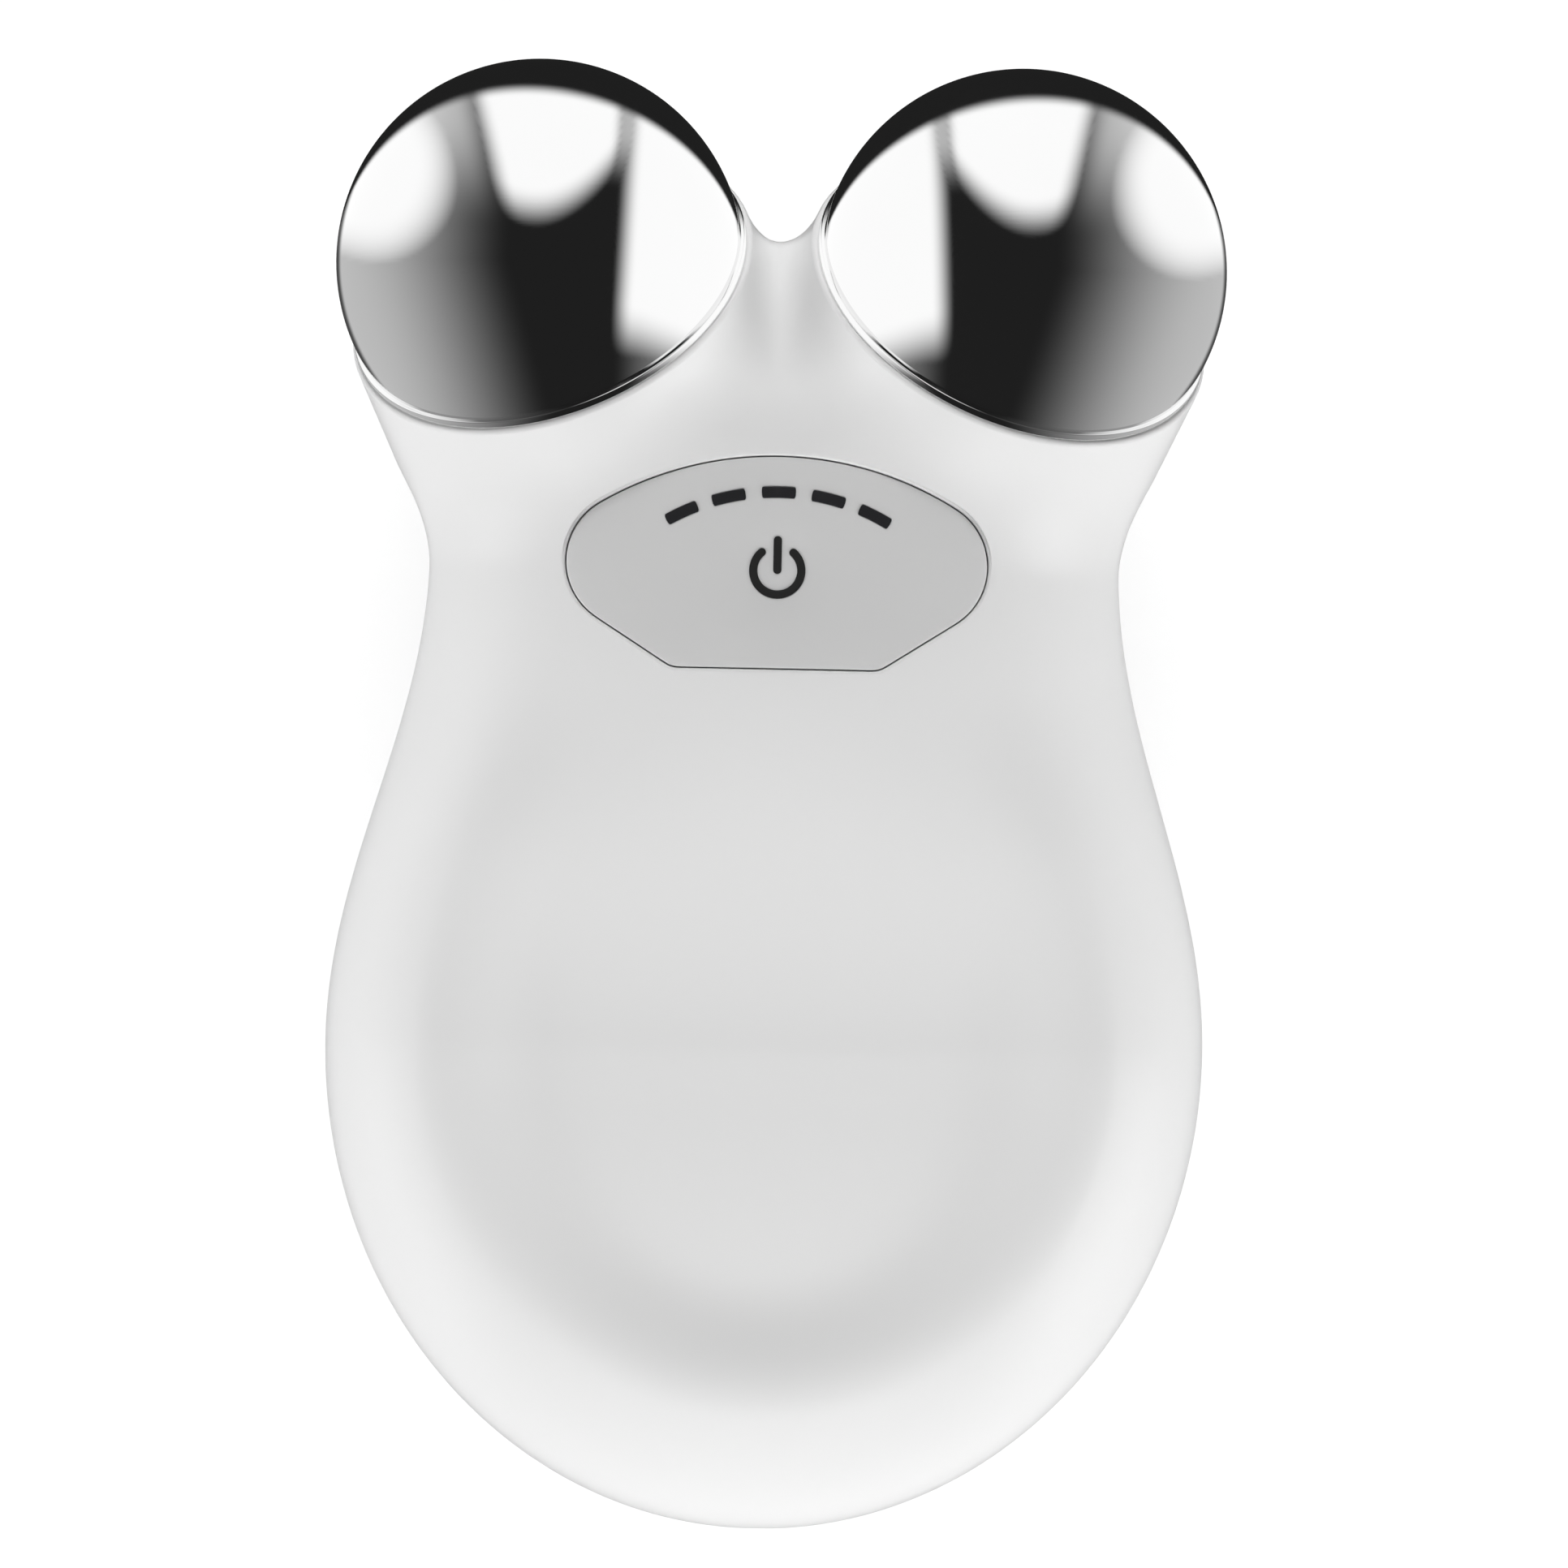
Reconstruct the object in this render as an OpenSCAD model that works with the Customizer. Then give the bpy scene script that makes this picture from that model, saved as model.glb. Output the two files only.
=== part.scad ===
// Handheld facial toning device: a gourd-shaped case in two shells, two domed
// chrome electrodes in collars, one wide key with level windows, and the
// electronics that drive them.
// Frame: the case lies on its back with its front face up (+Z) and the
// electrodes toward +Y. The origin is under the middle of the whole device, on
// the surface it rests on. Lengths along the case are taken from the nose tip.

/* [Case] */
// Width of the case at its widest
body_w = 60; // [56:1:72]
// Width of the case at the waist
waist_w = 47; // [46:1:56]
// Nose tip to the widest point
widest_at = 33; // [30:1:40]
// Nose tip to the waist
waist_at = 66.6; // [66:0.2:69]
// Waist to the end of the saddle between the collars
head_len = 21; // [19:0.5:22]
// Height of the front face over the widest point
front_z = 27.4; // [26:0.2:33]
// Height of the front face at the key
neck_z = 30; // [30:0.2:36]
// Height of the back at the neck
neck_back_z = 2.5; // [1:0.1:3]
// Wall thickness of both shells
wall = 2; // [1.7:0.1:2.4]
// Depth of the thumb dish in the front face
dish_depth = 3.8; // [3:0.1:4.4]
// Height of the parting line at the nose tip
split_z0 = 11; // [9:0.5:13]
// Slope of the parting line toward the electrodes, in degrees
split_tilt = 5.14; // [3:0.1:6]
// How much the round back is cut flat to rest on
flat_cut = 0.8; // [0.5:0.1:1.2]

/* [Electrodes] */
// Radius of an electrode dome
ball_r = 13.85; // [11.5:0.05:14.4]
// Middle of the case to a dome centre
ball_x = 16.4; // [16.2:0.1:18]
// Nose tip to the dome centres
ball_at = 86.15; // [86:0.05:90]
// Height of the dome centres
ball_z = 23; // [22:0.1:25]
// Outward lean of the electrode axes, in degrees
ball_lean = 24.5; // [20:0.5:28]
// Forward rise of the electrode axes, in degrees
ball_rise = 38; // [34:0.5:42]
// Dome centre to the rim of its collar
rim_back = 2.5; // [2:0.1:3]
// How far a collar stands out beyond its dome
collar_lip = 0.45; // [0.3:0.05:0.8]
// Length of the straight part of a collar
collar_len = 8; // [7.5:0.1:9]
// Wall of a collar
collar_wall = 1.9; // [1.7:0.1:2.2]
// Depth of an electrode spigot in its collar
spigot_len = 5.2; // [5:0.1:6]

/* [Key] */
// Width of the key
key_w = 28.5; // [25:0.5:30]
// Radius of the key's round ends
key_end_r = 4.5; // [4:0.1:5]
// Nose tip to the lower edge of the key
key_low = 58.9; // [58:0.1:60]
// Nose tip to the top of the key
key_top = 73.17; // [72.4:0.01:73.4]
// Radius of the key's top edge
key_arc_r = 23.5; // [22:0.5:26]
// Travel of the key
key_travel = 0.3; // [0.2:0.05:0.5]
// Gap round the key
key_gap = 0.15; // [0.1:0.01:0.2]
// Thickness of the key plate
key_plate = 1.4; // [1.2:0.1:1.6]
// Width of the flange that holds the key in
key_flange = 1.2; // [0.8:0.1:1.4]

/* [Electronics] */
// Thickness of the main board
board_t = 1.6; // [1.2:0.1:1.8]
// Half width of the main board
board_half_w = 13.4; // [12:0.1:14]
// Body height of the tact switch
switch_h = 3.5; // [3.1:0.1:3.8]
// Height of the switch plunger over its body
plunger_h = 1.5; // [1.3:0.1:1.8]
// Length of the battery cell
cell_len = 33; // [26:1:34]
// Width of the battery cell
cell_w = 28; // [22:1:29]
// Thickness of the battery cell
cell_t = 6.5; // [5:0.1:8]

// Width of the charging port shell
port_w = 7.5; // [7:0.1:8.2]
// Height of the charging port shell
port_h = 2.5; // [2.3:0.1:2.6]

/* [Fasteners] */
// Shank radius of the case screws
screw_r = 1; // [0.9:0.05:1.2]
// Head radius of the case screws
head_r = 1.8; // [1.7:0.05:1.9]
// Length of the case screws
screw_len = 12; // [10:0.5:12.5]

/* [Hidden] */
EPS = 0.01;
// How far a cut runs past what it cuts
OVER = 1;
// Facets of round pieces
COLLAR_FN = 72;
ROUND_FN = 48;
SMALL_FN = 32;
mid_y = (ball_at + ball_r) / 2;
axis_dir = [sin(ball_lean) * cos(ball_rise), cos(ball_lean) * cos(ball_rise), sin(ball_rise)];
collar_r = ball_r + collar_lip;
bore_r = collar_r - collar_wall;

// Clearances
seat_gap = 0.02;
slide_gap = 0.2;
press_gap = 0.05;
hole_gap = 0.1;

// Electrodes
dome_wall = 1.2;
flange_r = ball_r + 0.15;
flange_t = 0.6;
spigot_r = bore_r - hole_gap;
spigot_wall = 1.8;
web_t = 1.2;
web_z = -rim_back - spigot_len;
seal_at = 2;
seal_r = 0.42;
seal_slot = 0.9;
bead_at = 3.9;
bead_w = 0.8;
bead_h = 0.55;
mouth_lip = 4;
mouth_reach = 30;
contact_r = 0.85;
contact_head_r = 1.9;
contact_head_h = 1.3;
contact_len = 3;
contact_boss_r = 3;
contact_boss_h = 3.4;
terminal_t = 0.4;
terminal_r = 2.6;
terminal_w = 1.4;
barrel_lap = 1;
terminal_reach = 5;
terminal_turn = 225;
barrel_r = 0.9;
barrel_len = 3;

// Key
key_chamfer = 57.5;
key_arc_at = key_top - key_arc_r;
key_end_x = key_w / 2 - key_end_r;
key_end_at = key_arc_at + sqrt(pow(key_arc_r - key_end_r, 2) - pow(key_end_x, 2));
key_end_turn = atan2(key_end_at - key_arc_at, key_end_x);
key_skirt = 1.2;
flange_seat = 0.25;
flange_room = 0.5;
key_deep = 3.1;
crown_r = pow(waist_w / 2, 2) / (neck_z - split_z0 - key_end_at * tan(split_tilt));
crown_z = neck_z - crown_r;
crown_reach = 6;
window_arc_r = 15;
window_top = 70.8;
window_turns = [-25.8, -13, 0, 13, 25.8];
window_w = 2.3;
window_h = 0.78;
window_lip = 0.7;
window_deep = 0.6;
guide_turn = 31;
symbol_at = 65.5;
symbol_r = 1.9;
symbol_stroke = 0.55;
symbol_open = 34;
symbol_bar_low = 0.2;
symbol_bar_top = 2.3;
symbol_deep = 0.4;

// Main board and what it carries
board_z = neck_z - 8;
board_low = 52.8;
board_top = 72;
tongue_half_w = 3.5;
tongue_top = 79;
board_under = board_z - board_t;
board_holes = [[-10.8, 55.2], [10.8, 55.2], [0, 76.4]];
board_boss_r = 1.8;
board_screw_r = 0.8;
board_head_r = 1.5;
board_head_h = 1.2;
board_screw_len = 5;
switch_w = 6;
pin_size = [1.6, 0.7, 0.5];
pin_at = 2.25;
plunger_r = 1.75;
plunger_in = 1;
plunger_room = 0.2;
plunger_end = board_z + switch_h + plunger_h;
led_size = [1.6, 0.8, 0.7];
chip_at = [-6.6, 60.2];
chip_w = 5;
chip_t = 0.9;
chip_stand = 0.1;
chip_leg = [0.9, 0.3, 0.3];
chip_pins = 6;
chip_pitch = 0.75;
coil_at = [8, 62.5];
coil_r = 4;
coil_h = 5;
coil_rim = 0.9;
coil_groove = 0.8;
buzzer_at = [-5.8, 67.8];
buzzer_r = 3.7;
buzzer_h = 3;
buzzer_hole = 0.8;
header_at = [0, 56.6];
header_w = 6;
header_d = 4.6;
header_h = 4;
header_wall = 0.6;
header_floor = 1;
plug_out = 2;
plug_foot = 0.1;
small_parts = [[-1.5, 61, 1.6, 0.8, 0.6], [-1.5, 63, 1.6, 0.8, 0.6], [0.8, 66.5, 2, 1.25, 0.8],
    [0.8, 69.5, 2, 1.25, 0.8], [8, 69.2, 3, 3, 1], [11.6, 68, 1.6, 0.8, 0.6],
    [-11.4, 64.6, 1.25, 2, 0.8], [5.2, 56.4, 1.6, 3.2, 1.6]];

// Battery
cell_at = 19;
pad_inset = 5;
pad_t = 1.2;
cell_z = wall + pad_t;
cell_corner = 1.6;
rib_t = 1.2;
rib_gap = 0.3;
rib_top = 6;
rib_inset = 3;

// Charging
charge_z = 7.7;
charge_t = 1;
charge_half_w = 6.5;
charge_low = wall + 3;
charge_top = 17.5;
charge_holes = [[-4.5, 14], [4.5, 14]];
charge_boss_r = 1.7;
charge_parts = [[0, 11, 3.2, 2.8, 0.9], [-4.4, 10, 1, 2, 0.8], [4.4, 10, 1, 2, 0.8]];
port_at = 1.5;
port_len = 6;
port_wall = 0.3;
port_gap = 0.15;
tongue_w = 3.6;
tongue_t = 0.6;
tongue_base = 1.6;
tongue_set = 0.8;
tongue_up = 0.25;

// Case screws: where they stand, and how far a seat lies behind the parting plane
case_holes = [[-18.6, 28], [18.6, 28], [-16.5, 61], [16.5, 61]];
case_boss_r = 2.8;
seat_back = 6;
head_h = 1.6;
slot_w = 0.5;
slot_share = 0.7;
tip_room = 0.4;
post_past = 2;

// Routes of the leads; each ends wire_gap short of what it is soldered to
wire_r = 0.6;
wire_sides = 8;
wire_steps = 3;
wire_gap = 0.12;
barrel_end = [terminal_reach - barrel_lap + barrel_len, web_z - terminal_t / 2 - barrel_r];
lead_end = [11.4, 70.2];
right_lead_route = [axis_pt(barrel_end[0] + wire_gap, barrel_end[1]),
    axis_pt(barrel_end[0] + 1.4, barrel_end[1]),
    [6.6, 77, 20.6], [8, 74.4, 18.4], [10.4, 71.6, 17.8], [lead_end[0], lead_end[1], 19],
    [lead_end[0], lead_end[1], board_under - wire_gap]];
cell_end = cell_at + cell_len;
plug_z = board_under - header_h - plug_out;
tab_z = cell_z + cell_t - 1.5;
red_route = [[3.2, cell_end + wire_gap, tab_z], [3.2, cell_end + 1.4, tab_z],
    [3.4, cell_end + 3.6, tab_z + 1.4], [2, header_at[1] + 0.6, plug_z - 2.8],
    [1.1, header_at[1], plug_z - 1.2], [1.1, header_at[1], plug_z - wire_gap]];
over_cell = cell_z + cell_t + 1.5;
charge_route = [[-5.2, 16.2, charge_z + wire_gap], [-5.2, 16.2, 9], [-5.8, 17, over_cell - 0.8],
    [-7.6, 19.6, over_cell], [-10.4, 23.4, over_cell], [-11.8, 29, over_cell],
    [-12, 37, over_cell], [-12, 45, over_cell + 0.6], [-12.4, 52, 13.8],
    [-12.4, 56, 15.6], [-12.4, 58.8, 17.2], [-12.4, 59.8, 18.8], [-12.4, 59.8, board_under - wire_gap]];
charge_pitch = 1.4;

// Point in the plane of the right electrode's terminal, along its barrel and
// up its axis, as a point in the case
function axis_pt(along, up) =
    let (x = along * cos(terminal_turn), y0 = along * sin(terminal_turn),
         tip = ball_rise - 90,
         y = y0 * cos(tip) - up * sin(tip),
         z = y0 * sin(tip) + up * cos(tip))
    [ball_x + x * cos(ball_lean) + y * sin(ball_lean),
     ball_at - x * sin(ball_lean) + y * cos(ball_lean), ball_z + z];

// Shape of the case
scoop_at = 75.7;
scoop_slope = 38.6;
scoop_r = 13.6;
crest_at = 62;
rise_from = 50;
rise_to = 70;
saddle_rise = 9;
saddle_at = waist_at + head_len;
front_power = 2.4;
neck_power = 2;
back_power = 2.4;
dish_inset = 6;
dish_low = 7.8;
dish_wall = 0.38;
dish_bowl = 0.15;
dish_fade_from = 28;
dish_fade_to = 61;
nose_steps = 9;
mid_steps = 10;
head_steps = 9;
arc_steps = 20;
nose_cap = 3;
head_cap = 88.5;
lap = 0.6;
// Larger than any half of the case
slab = 60;

function clamp01(t) = max(0, min(1, t));
function mix(a, b, t) = a + (b - a) * t;
function ease(t) = (1 - cos(180 * clamp01(t))) / 2;
function signed_pow(v, p) = sign(v) * pow(abs(v), p);

// Height of the parting plane
function split_z(s) = split_z0 + s * tan(split_tilt);

// Taper of the nose, 0 at the tip and 1 from the widest point on
function nose_k(s, e) =
    s >= widest_at ? 1 : sqrt(max(0, 1 - pow((widest_at - s) / (widest_at - e), 2)));

// Half width of the case, with its surface moved in by e
function half_w(s, e = 0) =
    s < widest_at ? (body_w / 2 - e) * nose_k(s, e)
    : s < waist_at
    ? mix(body_w, waist_w, ease((s - widest_at) / (waist_at - widest_at))) / 2 - e
    : (waist_w / 2 - e) * sqrt(max(0, 1 - pow((s - waist_at) / (head_len - e), 2)));

// Front and back of the case along its middle, before the nose tapers them
function crest_z(s) = mix(front_z, neck_z, ease((s - widest_at) / (crest_at - widest_at)));
function spine_z(s) =
    mix(-flat_cut, neck_back_z, ease((s - rise_from) / (rise_to - rise_from)))
    + (s < rise_to ? 0 : saddle_rise * (1 - cos(90 * (s - rise_to) / (saddle_at - rise_to))));
function front_h(s, e) =
    (crest_z(max(s, widest_at)) - split_z(max(s, widest_at)) - e) * nose_k(s, e);
function back_h(s, e) =
    (split_z(max(s, widest_at)) - spine_z(max(s, widest_at)) - e) * nose_k(s, e);

// Thumb dish: half width, fade toward the key, how far out a point lies in it
// (1 at its edge), and depth at a point
function dish_half(s) = half_w(max(s, widest_at)) - dish_inset;
function dish_fade(s) = 1 - ease((s - dish_fade_from) / (dish_fade_to - dish_fade_from));
function dish_out(x, s) =
    s >= dish_fade_to ? 1
    : min(1, norm([x / dish_half(s), max(widest_at - s, 0) / (widest_at - dish_low)]));
function dish(x, s) =
    let (out = dish_out(x, s))
    dish_depth * dish_fade(s)
    * mix(ease((1 - out) / dish_wall), pow(1 - out * out, 1.5), dish_bowl);

// Round ramp that falls from the front face to the saddle between the collars
function scoop_z(x, s, e) =
    abs(x) >= scoop_r + e ? neck_z
    : neck_z - (s - scoop_at) * tan(scoop_slope)
      + (scoop_r - sqrt(pow(scoop_r + e, 2) - x * x)) / cos(scoop_slope);

function ring_x(s, e, t, p) = half_w(s, e) * signed_pow(cos(t), 2 / p);
function front_p(s) = mix(front_power, neck_power, ease((s - 45) / 13));
function front_pt(s, e, t) =
    let (x = ring_x(s, e, t, front_p(s)),
         z = split_z(s) + front_h(s, e) * pow(sin(t), 2 / front_p(s)) - dish(x, s))
    [x, s, max(split_z(s), min(z, scoop_z(x, s, e)))];
function back_pt(s, e, t) =
    let (x = ring_x(s, e, t, back_power),
         z = split_z(s) - back_h(s, e) * pow(sin(t), 2 / back_power))
    [x, s, max(z, e)];

// Stations along the case for a surface moved in by e
function stations(e) = concat(
    [for (i = [0:nose_steps - 1])
        widest_at - (widest_at - e) * cos(mix(nose_cap, 90, i / nose_steps))],
    [for (i = [0:mid_steps - 1]) mix(widest_at, waist_at, i / mid_steps)],
    [for (i = [0:head_steps]) waist_at + (head_len - e) * sin(head_cap * i / head_steps)]);

// One ring of a half case, from right to left, its ends past the parting plane
// by reach
function half_ring(s, e, front, reach) =
    [for (j = [0:arc_steps])
        let (t = 180 * j / arc_steps,
             past = j == 0 || j == arc_steps ? reach : 0)
        front ? front_pt(s, e, t) - [0, 0, past] : back_pt(s, e, t) + [0, 0, past]];

function flipped(faces, flip) =
    flip ? [for (f = faces) [for (i = [len(f) - 1:-1:0]) f[i]]] : faces;

// Solid half of the case, its surface moved in by e, a little past the parting
// plane
module half_case(e, front, reach) {
    at = stations(e);
    n = len(at);
    k = arc_steps + 1;
    points = [for (s = at) each half_ring(s, e, front, reach)];
    skin = [for (i = [0:n - 2], j = [0:k - 2]) each [
        [i * k + j, i * k + j + 1, (i + 1) * k + j + 1],
        [i * k + j, (i + 1) * k + j + 1, (i + 1) * k + j]]];
    base = [for (i = [0:n - 2]) each [
        [i * k + k - 1, i * k, (i + 1) * k],
        [i * k + k - 1, (i + 1) * k, (i + 1) * k + k - 1]]];
    caps = [[for (j = [k - 1:-1:0]) j], [for (j = [0:k - 1]) (n - 1) * k + j]];
    polyhedron(points, flipped(concat(skin, base, caps), !front), convexity = 6);
}

// Puts a shape drawn round +Z at a dome centre, along the axis of that electrode
module on_axis(side) {
    translate([side * ball_x, ball_at, ball_z])
        rotate([0, 0, -side * ball_lean])
            rotate([ball_rise - 90, 0, 0])
                children();
}

// Round-ended collar: straight from its rim, then a half ball; with an open
// mouth it runs on past the rim, wider than the collar itself
module capsule(side, r, mouth = 0) {
    on_axis(side)
        rotate_extrude($fn = COLLAR_FN) {
            translate([0, -rim_back - collar_len])
                intersection() {
                    circle(r = r, $fn = COLLAR_FN);
                    translate([0, -r])
                        square([r, r]);
                }
            translate([0, -rim_back - collar_len])
                square([r, collar_len]);
            if (mouth > 0)
                translate([0, -rim_back])
                    square([mouth, mouth_reach]);
        }
}

// All that lies on one side of the parting plane
module behind_split(front) {
    translate([0, 0, split_z0])
        rotate([split_tilt, 0, 0])
            translate([-slab, -slab / 2, front ? -slab : 0])
                cube([2 * slab, 3 * slab, slab]);
}

// One shell: first child is built on its inside, second is cut from it
module shell(front) {
    difference() {
        union() {
            difference() {
                union() {
                    half_case(0, front, lap);
                    capsule(1, collar_r);
                    capsule(-1, collar_r);
                }
                half_case(wall, front, 2 * lap);
                capsule(1, bore_r, collar_r + mouth_lip);
                capsule(-1, bore_r, collar_r + mouth_lip);
            }
            intersection() {
                children(0);
                half_case(wall / 2, front, 2 * lap);
            }
        }
        bead_grooves();
        behind_split(front);
        children(1);
    }
}

module seated() {
    translate([0, -mid_y, 0])
        children();
}

module post(at, r, z0, z1) {
    translate([at[0], at[1], z0])
        cylinder(r = r, h = z1 - z0, $fn = ROUND_FN);
}

module block(from, to) {
    translate(from)
        cube(to - from);
}

// Ring grooves in both collars that hold the electrode beads
module bead_grooves() {
    for (side = [-1, 1])
        on_axis(side)
            rotate_extrude($fn = COLLAR_FN)
                translate([bore_r - OVER, -rim_back - bead_at - hole_gap])
                    square([OVER + bead_h + hole_gap, bead_w + 2 * hole_gap]);
}

// Outline of the key, grown by e, points from the right end of its lower edge
function arc(c, r, from, to, n) =
    [for (i = [0:n]) c + r * [cos(mix(from, to, i / n)), sin(mix(from, to, i / n))]];
function key_points(e) =
    let (end = [key_end_x, key_end_at],
         turn = key_end_turn,
         right = arc(end, key_end_r + e, -key_chamfer, turn, 12),
         over = arc([0, key_arc_at], key_arc_r + e, turn, 180 - turn, 16),
         left = [for (i = [12:-1:0]) [-right[i][0], right[i][1]]],
         corner_x = right[0][0] - (right[0][1] - key_low + e) * tan(key_chamfer))
    concat([[corner_x, key_low - e]], right, [for (i = [1:15]) over[i]], left,
           [[-corner_x, key_low - e]]);

module key_prism(e) {
    translate([0, 0, board_z])
        linear_extrude(neck_z - board_z + OVER)
            polygon(key_points(e));
}

// Round bar along the case whose top is the crown of the neck, moved in by e
module crown(e) {
    translate([0, key_low - crown_reach, crown_z])
        rotate([-90, 0, 0])
            cylinder(r = crown_r - e, h = key_top - key_low + 2 * crown_reach, $fn = 128);
}

module window_bars(grow) {
    for (turn = window_turns)
        translate([0, window_top - window_arc_r])
            rotate(-turn)
                translate([0, window_arc_r])
                    union() {
                        square([window_w - window_h, window_h + 2 * grow], center = true);
                        for (end = [-1, 1])
                            translate([end * (window_w - window_h) / 2, 0])
                                circle(r = window_h / 2 + grow, $fn = 24);
                    }
}

module symbol_shape(grow) {
    translate([0, symbol_at]) {
        difference() {
            circle(r = symbol_r + grow, $fn = 64);
            circle(r = symbol_r - symbol_stroke - grow, $fn = 64);
            polygon([[0, 0], [2 * symbol_r * tan(symbol_open), 2 * symbol_r],
                     [-2 * symbol_r * tan(symbol_open), 2 * symbol_r]]);
        }
        translate([-symbol_stroke / 2 - grow, -symbol_bar_low - grow])
            square([symbol_stroke + 2 * grow, symbol_bar_top + symbol_bar_low + 2 * grow]);
    }
}

module tall(z0 = board_z) {
    translate([0, 0, z0])
        linear_extrude(neck_z - z0 + OVER)
            children();
}

module front_shell() {
    color("whitesmoke") seated() shell(true) {
        union() {
            for (at = case_holes)
                post(at, case_boss_r, split_z0, neck_z);
            for (at = board_holes)
                post(at, board_boss_r, board_z, neck_z);
        }
        union() {
            key_prism(key_gap);
            intersection() {
                key_prism(key_flange + flange_room);
                crown(wall - flange_seat);
            }
            for (at = case_holes)
                post(at, screw_r + seat_gap, split_z0, split_z(at[1]) + screw_len - seat_back + tip_room);
            for (at = board_holes)
                post(at, board_screw_r + seat_gap, board_z - OVER,
                     board_z + board_screw_len - board_t + tip_room);
        }
    }
}

module rear_shell() {
    color("white") seated() shell(false) {
        union() {
            for (at = case_holes)
                post(at, case_boss_r, 0, split_z(at[1]) + post_past);
            for (at = charge_holes)
                post(at, charge_boss_r, 0, charge_z - charge_t);
            for (side = [-1, 1])
                mirror([side < 0 ? 1 : 0, 0, 0])
                    block([cell_w / 2 + rib_gap, cell_at + rib_inset, 0],
                          [cell_w / 2 + rib_gap + rib_t, cell_at + cell_len - rib_inset, rib_top]);
            block([-cell_w / 2 + rib_inset, cell_at - rib_gap - rib_t / 2, 0],
                  [cell_w / 2 - rib_inset, cell_at - rib_gap, rib_top]);
            block([-cell_w / 2 + rib_inset, cell_at + cell_len + rib_gap, 0],
                  [cell_w / 2 - rib_inset, cell_at + cell_len + rib_gap + rib_t, rib_top]);
        }
        union() {
            for (at = case_holes) {
                post(at, screw_r + hole_gap, 0, split_z(at[1]) + post_past);
                post(at, head_r + hole_gap, -OVER, split_z(at[1]) - seat_back);
            }
            for (at = charge_holes)
                post(at, board_screw_r + seat_gap, charge_z - board_screw_len, charge_z);
            block([-port_w / 2 - port_gap, -OVER, charge_z - port_gap],
                  [port_w / 2 + port_gap, port_at + port_len, charge_z + port_h + port_gap]);
        }
    }
}

module electrode(side) {
    color("silver") seated() on_axis(side)
        rotate_extrude($fn = 128)
            difference() {
                union() {
                    intersection() {
                        difference() {
                            circle(r = ball_r, $fn = 128);
                            circle(r = ball_r - dome_wall, $fn = 128);
                        }
                        translate([0, -rim_back])
                            square([ball_r + 1, ball_r + rim_back + 1]);
                    }
                    translate([spigot_r - spigot_wall, -rim_back])
                        square([flange_r - spigot_r + spigot_wall, flange_t]);
                    translate([spigot_r - spigot_wall, web_z])
                        square([spigot_wall, spigot_len + flange_t]);
                    translate([spigot_r - 1, -rim_back - bead_at])
                        square([1 + bead_h, bead_w]);
                    translate([0, web_z])
                        square([spigot_r - spigot_wall / 2, web_t]);
                    translate([0, web_z])
                        square([contact_boss_r, contact_boss_h]);
                }
                translate([spigot_r - seal_slot, -rim_back - seal_at - seal_slot / 2])
                    square([seal_slot + OVER, seal_slot]);
                translate([-OVER, web_z - OVER])
                    square([OVER + contact_r + seat_gap, contact_len + OVER + hole_gap]);
            }
}

module left_electrode() {
    electrode(-1);
}

module right_electrode() {
    electrode(1);
}

module electrode_seal(side) {
    color("dimgray") seated() on_axis(side)
        rotate_extrude($fn = COLLAR_FN)
            translate([bore_r - seal_slot / 2, -rim_back - seal_at])
                circle(r = seal_r, $fn = SMALL_FN);
}

module left_electrode_seal() {
    electrode_seal(-1);
}

module right_electrode_seal() {
    electrode_seal(1);
}

// Pan-head screw standing on its head, shank up, seat at z = 0
module screw(shank, length, head, height) {
    difference() {
        union() {
            translate([0, 0, -height])
                cylinder(r = head, h = height, $fn = ROUND_FN);
            translate([0, 0, -EPS])
                cylinder(r = shank, h = length + EPS, $fn = ROUND_FN);
        }
        for (turn = [0, 90])
            rotate(turn)
                translate([-head * slot_share, -slot_w / 2, -height - OVER])
                    cube([2 * head * slot_share, slot_w, OVER + height / 2]);
    }
}

module contact_screws() {
    color("gainsboro") seated()
        for (side = [-1, 1])
            on_axis(side)
                translate([0, 0, web_z - terminal_t])
                    screw(contact_r, contact_len, contact_head_r, contact_head_h);
}

// Crimp ring under each contact screw, its barrel turned toward the board
module ring_terminals() {
    color("goldenrod") seated()
        for (side = [-1, 1])
            on_axis(side)
                translate([0, 0, web_z - terminal_t])
                    rotate(side > 0 ? terminal_turn : 180 - terminal_turn)
                        difference() {
                            union() {
                                cylinder(r = terminal_r, h = terminal_t, $fn = ROUND_FN);
                                translate([0, -terminal_w / 2, 0])
                                    cube([terminal_reach, terminal_w, terminal_t]);
                                translate([terminal_reach - barrel_lap, 0, terminal_t / 2 - barrel_r])
                                    rotate([0, 90, 0])
                                        cylinder(r = barrel_r, h = barrel_len, $fn = SMALL_FN);
                            }
                            translate([0, 0, -OVER])
                                cylinder(r = contact_r + hole_gap, h = 2 * OVER, $fn = SMALL_FN);
                        }
}

// Smooth curve through hand-chosen points
function route_pt(p, i, t) =
    let (n = len(p) - 1,
         a = p[max(i - 1, 0)], b = p[i], c = p[i + 1], d = p[min(i + 2, n)])
    0.5 * (2 * b + (c - a) * t + (2 * a - 5 * b + 4 * c - d) * t * t
           + (3 * b - a - 3 * c + d) * t * t * t);
function route(p) = concat(
    [for (i = [0:len(p) - 2], j = [0:wire_steps - 1]) route_pt(p, i, j / wire_steps)],
    [p[len(p) - 1]]);
function unit(v) = v / norm(v);

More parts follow.
